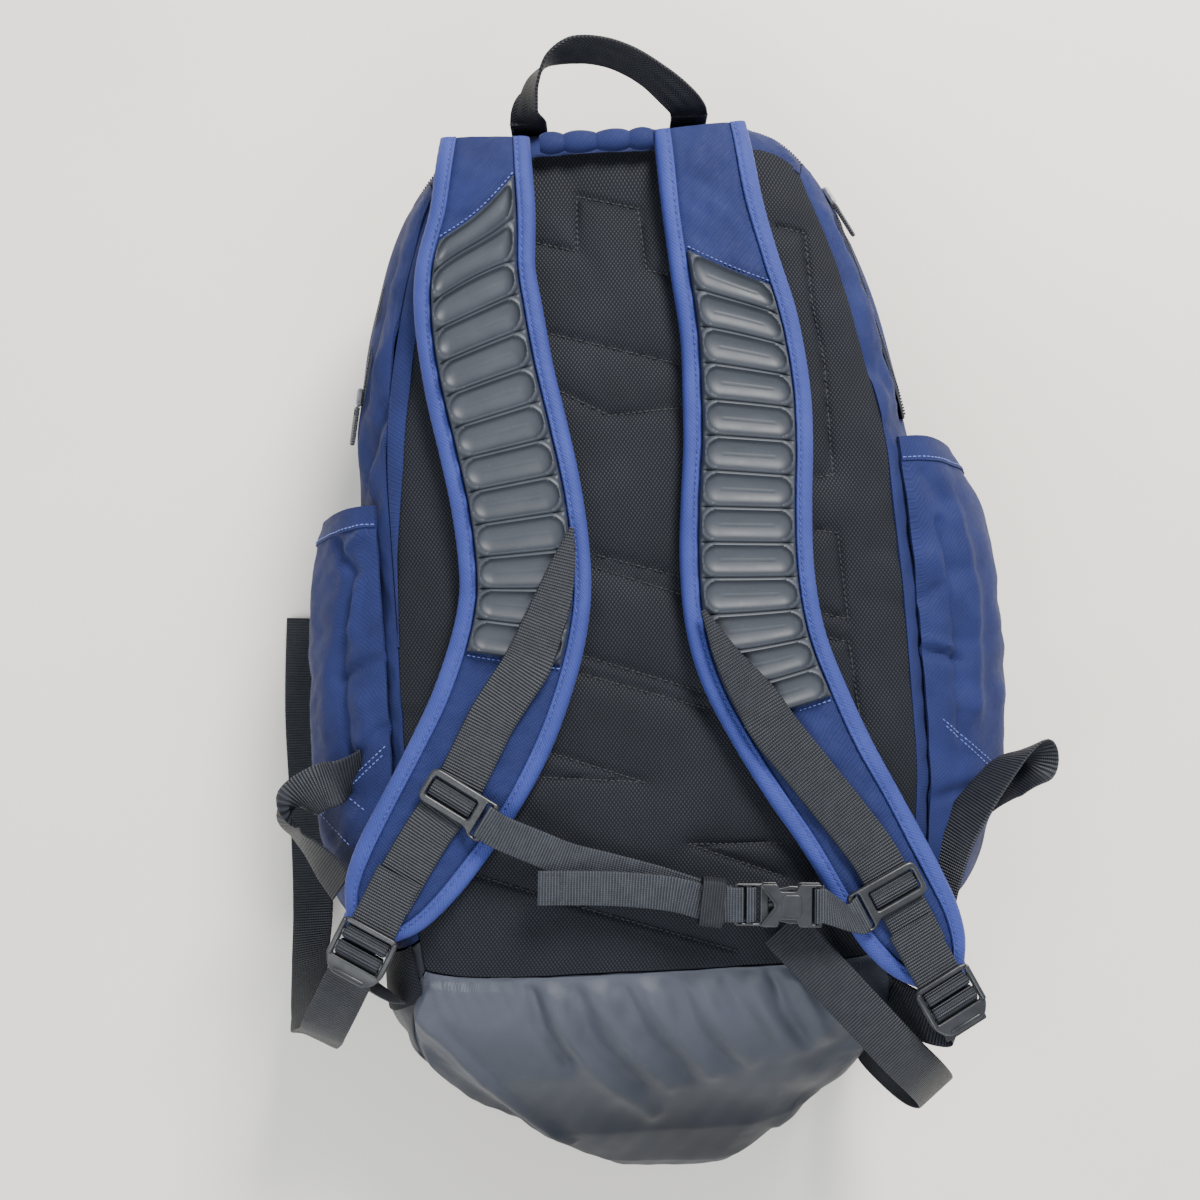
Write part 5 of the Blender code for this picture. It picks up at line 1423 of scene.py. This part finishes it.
def slider_shape():
    """A webbing slider with a loop at its inner end."""
    outline = [(-16, 9.5), (22.6, 9.5), (24.2, 8.0), (24.2, -11.6), (22.6, -13.0),
               (17.0, -13.0), (13.5, -9.5), (-16, -9.5)]
    holes = [rounded(13.2, 5.6, 1.6), rounded(1.6, 9.6, 1.2, (19.3, -1.8))]
    ring = flat_moulding(softened(outline, 4.5), holes, 0.9, 4.0, 1.0)
    bar = rounded_box((30.0, 4.0, 1.3), (0, 0, -1.75), 0.45)
    posts = [rounded_box((1.9, 4.0, 4.6), (x, 0, 0.0), 0.4) for x in (-14.3, 14.3)]
    return merged([ring, bar] + posts)


def web_in(name, where, local, *rest):
    """Webbing along local (length, height) points, across the X axis of where."""
    return Web(name, [where @ Vector((0, y, z)) for y, z in local], axis(where, 0), WEBBING, *rest)


for word, where in (("left", left_at), ("right", right_at @ Matrix.Diagonal((-1, 1, 1, 1)))):
    moulding(word + "_slider_frame", slider_shape(), where, word + "_slide", word + "_slider")
# Webbing over a slider's bars: (length, height)
HUMP = [(-5.3, 0.4), (-4.4, 1.7), (-2.2, 2.6), (0, 2.9), (2.2, 2.6), (4.4, 1.7), (5.3, 0.4)]
for word, where in (("left", left_at), ("right", right_at)):
    web = web_in(word + "_wrap_web", where, HUMP, 1.0, web_look, 0.6)
    settle(web.obj, word + "_slide", "webbing", word + "_slider_wrap")


def lock_shape():
    """A ladder lock: bars in a frame and a lifting lip."""
    outline = [(-16.5, 13.0), (16.5, 13.0), (16.5, -10.0), (11.0, -17.5), (-11.0, -17.5), (-16.5, -10.0)]
    holes = [rounded(13.2, 1.8, 0.9, (0, 8.2)), rounded(13.2, 2.2, 0.9, (0, 1.2)),
             rounded(13.2, 1.7, 0.9, (0, -6.9))]
    plate = flat_moulding(softened(outline, 4.5), holes, -1.25, 1.35, 0.85)
    rails_of = [rounded_box((2.6, 21.0, 2.2), (x, 1.2, 1.7), 0.9) for x in (-14.9, 14.9)]
    lip = rounded_box((18.0, 1.3, 1.3), (0, -14.8, 1.5), 0.5)
    return merged([plate] + rails_of + [lip])


def lifted_lip(points):
    """The lock's lip curls up away from the strap."""
    out = points.copy()
    out[:, 2] += 0.05 * np.maximum(-9.5 - points[:, 1], 0.0) ** 1.6
    return out


def through_lock(where):
    """The adjuster's way round a ladder lock's lower bar."""
    local = [(-21, -12.0), (-14, -6.6), (-9, -4.8), (-3.4, -4.6), (-0.9, -3.8), (0.0, -1.8), (0.0, 0.6),
             (-1.2, 2.4), (-3.1, 3.0), (-5.4, 2.4), (-6.9, 0.4), (-7.9, -1.6), (-10.5, -2.4), (-16, -2.7),
             (-21, -4.6)]
    return [where @ Vector((0, y, z)) for y, z in local]


# Webbing round a lock's upper bar, and the strap's end sewn into that loop: (length, height)
LOCK_LOOP = [(19, -2.3), (11.5, -2.3), (9.2, -1.7), (8.2, 0.3), (7.0, 2.3), (4.9, 2.9), (3.2, 2.4), (2.6, 0.6),
             (2.6, -1.6), (4.2, -3.6), (9.0, -4.0), (17, -4.0)]
SEWN_END = [(44, -2.3), (30, -2.45), (18, -2.2), (11.5, -1.6)]
LOCKS = (("left", left_lock_at), ("right", right_lock_at))
for word, where in LOCKS:
    moulding(word + "_lock_frame", lock_shape(), where, word + "_lock", word + "_ladder_lock", lifted_lip)
    web = web_in(word + "_loop_web", where, LOCK_LOOP, 1.2, web_look, 0.8)
    settle(web.obj, word + "_strap", "webbing", word + "_lock_loop")

for word, where in LOCKS:
    web = web_in(word + "_sewn_end", where, SEWN_END, 1.2, web_look, 1.2)
    settle(web.obj, word + "_strap", "webbing")
    runs = web.box_stitch(1.5, 27.0) + web.box_stitch(5.0, 23.0, False)[2:4]
    across = np.linspace(-9.5, 9.5, 14)
    runs += [web.at(across, np.linspace(3.0, 26.0, 14)), web.at(across, np.linspace(26.0, 3.0, 14))]
    sew(word + "_sewn_end_stitches", runs, dark_thread, word + "_strap", "webbing", 2.7, 2.0, 0.42)

around_lock = through_lock(left_lock_at)
lead = [Vector((-146, -208, 140)), Vector((-154, -203, 154))]
tail = [Vector(p) for p in ((-180, -222, 154), (-187, -233, 130), (-196, -240, 98), (-205, -232, 62),
                            (-209, -212, 30), (-209, -180, 10), (-209, -120, 3.6), (-209, -60, 3.6),
                            (-205, -2, 3.6))]
ways = [axis(left_lock_at, 0)] * (len(lead) + len(around_lock))
ways += [Vector(p) for p in ((0.94, -0.34, 0.0), (0.9, -0.3, 0.3), (0.7, -0.2, 0.65), (0.75, 0.1, 0.6),
                             (0.95, 0.15, 0.3), (1, 0, 0), (1, 0, 0), (1, 0, 0), (1, 0, 0))]
web = Web("left_adjuster_web", lead + around_lock + tail, ways, WEBBING, WEB_THICK, web_look, 1.4)
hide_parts("left_adjuster")
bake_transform(web.obj)

around_lock = through_lock(right_lock_at)
lead = [Vector((122, -222, 148)), Vector((132, -228, 152.5)), Vector((146, -234, 158))]
ways = [Vector((0.35, 0.9, 0)), Vector((0.5, 0.9, 0.1)), Vector((0.75, 0.7, 0.1))]
ways += [axis(right_lock_at, 0)] * len(around_lock)
web = Web("right_adjuster_web", lead + around_lock, ways, WEBBING, WEB_THICK, web_look, 1.2)
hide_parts("right_adjuster")
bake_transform(web.obj)

hem_to_lock = [(66, -176, 177), (82, -195, 178), (98, -214, 177), (113, -232, 174), (128, -250, 168),
               (140, -264, 158), (149, -277, 138), (151, -284, 120), (146, -286, 100), (138, -282, 78),
               (130, -275, 55), (128, -268, 35)]
web = Web("right_tail_web", hem_to_lock, Vector((0.77, 0.64, 0.0)), WEBBING, WEB_THICK, web_look, 1.4)
settle(web.obj, "pack", "webbing", "right_adjuster_tail")
sew("right_tail_stitches", web.box_stitch(3.0, 13.0, False), dark_thread, "pack", "webbing", 2.8, 2.0, 0.4)

# Compression straps
loop = [(-154, -84, 146), (-166, -90, 154), (-178, -94, 152), (-190, -101, 148), (-196, -110, 144),
        (-192, -119, 142), (-184, -128, 142), (-176, -138, 144), (-168, -148, 148)]
ways = [(0.45, 0.85, 0.1), (0.45, 0.85, 0.1), (0.4, 0.85, 0.2), (0.45, 0.75, 0.4), (0.5, 0.4, 0.75),
        (0.45, 0.1, 0.9), (0.5, 0.3, 0.8), (0.6, 0.45, 0.65), (0.6, 0.5, 0.6)]
web = Web("left_compression_web", loop, ways, WEBBING, WEB_THICK, web_look, 1.4)
settle(web.obj, "pack", "webbing", "left_compression_strap")
loop = [(151, -174, 146), (156, -154, 152), (164, -135, 156), (179, -114, 157), (196, -97, 153),
        (209, -92, 147), (211, -103, 141), (198, -115, 141), (182, -124, 144)]
web = Web("right_compression_web", loop, Vector((0.75, 0.35, 0.55)), WEBBING, WEB_THICK, web_look, 1.4)
settle(web.obj, "pack", "webbing", "right_compression_strap")


# ---------------------------------------------------------------- sternum strap and buckle

left_bar = left_at @ Vector((SIDE_BAR, -1.8, 2.3))
right_bar = right_at @ Vector((-SIDE_BAR, -1.8, 2.3))
left_way, right_way = axis(left_at, 1), axis(right_at, 1)
out_left, norm_left = axis(left_at, 0), axis(left_at, 2)


def round_bar(bar, out, norm, radius):
    """Half a turn of webbing round a bar, from under it to over it."""
    turns = [math.radians(t) for t in (250, 215, 180, 145, 110)]
    return [bar + out * (radius * math.cos(t)) + norm * (radius * math.sin(t)) for t in turns]


def in_buckle(*points):
    """Points on the buckle's middle line, given as (length, height)."""
    return [buckle_at @ Vector((x, 0, z)) for x, z in points]


buckle_at = placed(Vector(BUCKLE_START), Vector((1.0, -0.06, 0.0)), Vector((0, 1, 0)))
loop = round_bar(left_bar, out_left, norm_left, 2.9)
sag = [(-60, -126, 189), (-44, -134, 184.5), (-24, -140.5, 182), (0, -148, 183), (18, -154, 187.5),
       (30, -158, 190.4)]
plug = in_buckle((-1.5, -3.0), (8.6, -3.2), (10.6, -2.0), (11.2, 0.3), (9.8, 2.4), (6.6, 2.7))
span = [left_bar + out_left * 9 + norm_left * 2.2] + [Vector(p) for p in sag] + plug
ways = [left_way] * (len(loop) + 1) + [Vector((x, 1, 0)) for x in (0.30, 0.33, 0.3, 0.28, 0.2, 0.1)]
ways += [Vector((0.06, 1, 0))] * len(plug)
web = Web("sternum_web", loop + span, ways, STERNUM, WEB_THICK, fine_web, 1.2)
settle(web.obj, "sternum", "webbing", "sternum_webbing")
runs = web.box_stitch(17.0, 27.0, False, 2.0)
sew("sternum_loop_stitches", runs, dark_thread, "sternum", "webbing", 2.4, 1.8, 0.4)
fold = in_buckle((4.8, 2.8), (-2.0, 2.9))
fold += [Vector(p) for p in ((28, -158.5, 195.6), (10, -153.5, 191.8), (-12, -150.5, 188.4),
                             (-34, -148.4, 189.0), (-60, -146.5, 192.4))]
web = Web("sternum_tail_web", fold, Vector((0.12, 1, 0)), STERNUM, WEB_THICK, fine_web, 1.2)
settle(web.obj, "sternum", "webbing", "sternum_tail")
end = web.reach[-1]
runs = web.box_stitch(end - 12.0, end - 2.5, False, 2.0)
sew("sternum_tail_stitches", runs, dark_thread, "sternum", "webbing", 2.4, 1.8, 0.4)

keeper_at = placed(Vector((29.0, -158.0, 193.0)), Vector((1, -0.16, 0.0)), Vector((0, 1, 0)))
turned = keeper_at @ Matrix(((0, 0, 1, 0), (1, 0, 0, 0), (0, 1, 0, 0), (0, 0, 0, 1)))
band = flat_moulding(rounded(12.2, 6.6, 2.6), [rounded(10.8, 5.2, 1.6)], -6.0, 6.0, 0.45)
keeper = mesh_object("keeper_band", *moved(band, turned), elastic, band[0][:, [0, 2]] * MM)
settle(keeper, "sternum", "webbing", "elastic_keeper")

half = BUCKLE_WIDE / 2
ring = flat_moulding(softened([(0, half), (18, half), (18, -half), (0, -half)], 2.4),
                     [rounded(2.2, 9.4, 0.9, (4.4, 0)), rounded(2.2, 9.4, 0.9, (11.4, 0))], -1.6, 1.6, 0.7)
tongue = rounded_box((16.0, 2.6, 2.4), (25.0, 0, 0), 0.6)
moulding("plug_frame", merged([ring, tongue]), buckle_at, "sternum", "buckle_plug")
ARM = [(18.5, 5.4), (22.0, 5.4), (30.0, 7.4), (33.5, 5.0), (35.4, 5.0), (33.6, 9.6), (29.0, 9.9), (24.0, 8.6),
       (18.5, 8.6)]
for word, sign in (("upper", 1), ("lower", -1)):
    arm = flat_moulding(softened([(x, y * sign) for x, y in ARM], 1.2), [], -1.5, 1.5, 0.5)
    moulding("release_" + word, arm, buckle_at, "arm_" + word, "release_arm_" + word)
upper_side = [(20.5, 0.9), (13.0, 10.2), (14.6, half), (22.5, half), (23.5, 7.2), (32.0, 7.2), (33.5, half),
              (44.5, half), (45.2, half - 0.8)]
top_shape = softened(upper_side + [(x, -y) for x, y in reversed(upper_side)], 1.3)
window = rounded(1.7, 9.4, 0.8, (41.6, 0))
lid = flat_moulding(top_shape, [window], 2.1, 4.4, 0.4)
floor_plate = flat_moulding(top_shape, [window], -4.4, -2.1, 0.4)
back_wall = rounded_box((2.2, 20.0, 6.0), (37.9, 0, 0), 0.4)
rim_side = [(20.5, 0.9), (13.6, 9.6), (14.9, 9.6), (22.2, 0.9)]
rim_line = rim_side + [(x, -y) for x, y in reversed(rim_side)]
rim_plate = flat_moulding(softened(rim_line, 0.8), [], 3.9, 5.0, 0.35)
pad_plate = flat_moulding(rounded(5.2, 5.6, 2.6, (29.6, 0)), [], 3.9, 4.8, 0.4)
shell = merged([lid, floor_plate, back_wall, rim_plate, pad_plate])
moulding("socket_shell", shell, buckle_at, "socket", "buckle_socket")

in_right, norm_right = -axis(right_at, 0), axis(right_at, 2)
loop_a = in_buckle((47.4, -6.0), (43.5, -6.2), (41.8, -4.4), (41.4, 0.0), (41.8, 4.4), (43.5, 6.0), (47.0, 5.4))
loop_b = [right_bar + in_right * 3.6 + norm_right * 3.9]
loop_b += reversed(round_bar(right_bar, in_right, norm_right, 3.3))
ways = [axis(buckle_at, 1)] * len(loop_a) + [right_way] * len(loop_b)
web = Web("sternum_link_web", loop_a + loop_b, ways, STERNUM, 1.1, fine_web, 0.9, False)
settle(web.obj, "socket", "webbing", "sternum_link")


# ---------------------------------------------------------------- grab handle

HANDLE_WIDE, HANDLE_THICK = 20.0, 2.0
arch = [(-46, 258.2, 148), (-45.6, 260.5, 156), (-44.6, 266, 164), (-41, 275, 171), (-33, 283.5, 175.5),
        (-20, 288, 178), (-5, 286.5, 178.5), (9, 281, 178), (22, 273, 175), (33, 265, 168), (39.5, 260.6, 158),
        (41, 258.6, 147)]
arch_ways = [(1, 0, 0), (0.85, -0.2, 0.3), (0.45, -0.2, 0.85), (0.35, -0.1, 0.9), (0.25, 0.15, 0.93),
             (0.1, 0.42, 0.9), (0.1, 0.45, 0.87), (0.2, 0.45, 0.85), (0.35, 0.4, 0.85), (0.8, 0.2, 0.5),
             (1, 0, 0), (1, 0, 0)]
web = Web("handle_web", arch, arch_ways, HANDLE_WIDE, HANDLE_THICK, handle_look, 1.4)
settle(web.obj, "handle", "webbing", "grab_handle")
for word, x in (("left", -46.0), ("right", 41.0)):
    path = [(x, y, z) for y, z in ((258.5, 152), (258.4, 140), (258.2, 128), (257.8, 116))]
    foot = Web(word + "_handle_foot", path, Vector((1, 0, 0)), HANDLE_WIDE, HANDLE_THICK, handle_look, 1.4)
    settle(foot.obj, "pack", "webbing")
    runs = foot.box_stitch(14.0, 32.0)
    sew(word + "_foot_stitches", runs, dark_thread, "pack", "webbing", 2.8, 2.0, 0.4)


# ---------------------------------------------------------------- solar kit, inner parts and outlet

FINISHES = {
    "solar_frame": fine_web, "solar_laminate_upper": cell_look, "solar_laminate_lower": cell_look,
    "junction_box": plastic, "power_bank": rubber, "frame_sheet": grey_plastic, "laptop_sleeve": knit,
    "usb_port": plastic, "usb_cover": rubber,
}
for node, look in FINISHES.items():
    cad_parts[node].data.materials[0] = look

LEAD_THICK = 3.4
lead_path = spline([(0, 105.6, 13), (0, 96, 13), (4, 84, 14), (14, 76, 16), (25.6, 76, 16.4)], 24)
lead_curve = bpy.data.curves.new("charge_cord", "CURVE")
lead_curve.dimensions = "3D"
lead_curve.bevel_depth = LEAD_THICK / 2 * MM
lead_curve.bevel_resolution = 3
lead_curve.use_fill_caps = True
line = lead_curve.splines.new("POLY")
line.points.add(len(lead_path) - 1)
for point, spot in zip(line.points, lead_path):
    point.co = tuple(spot * MM) + (1.0,)
lead_curve.materials.append(rubber)
cord = bpy.data.objects.new("charge_cord", lead_curve)
scene.collection.objects.link(cord)
settle(cord, "pack", "webbing", "charge_lead")
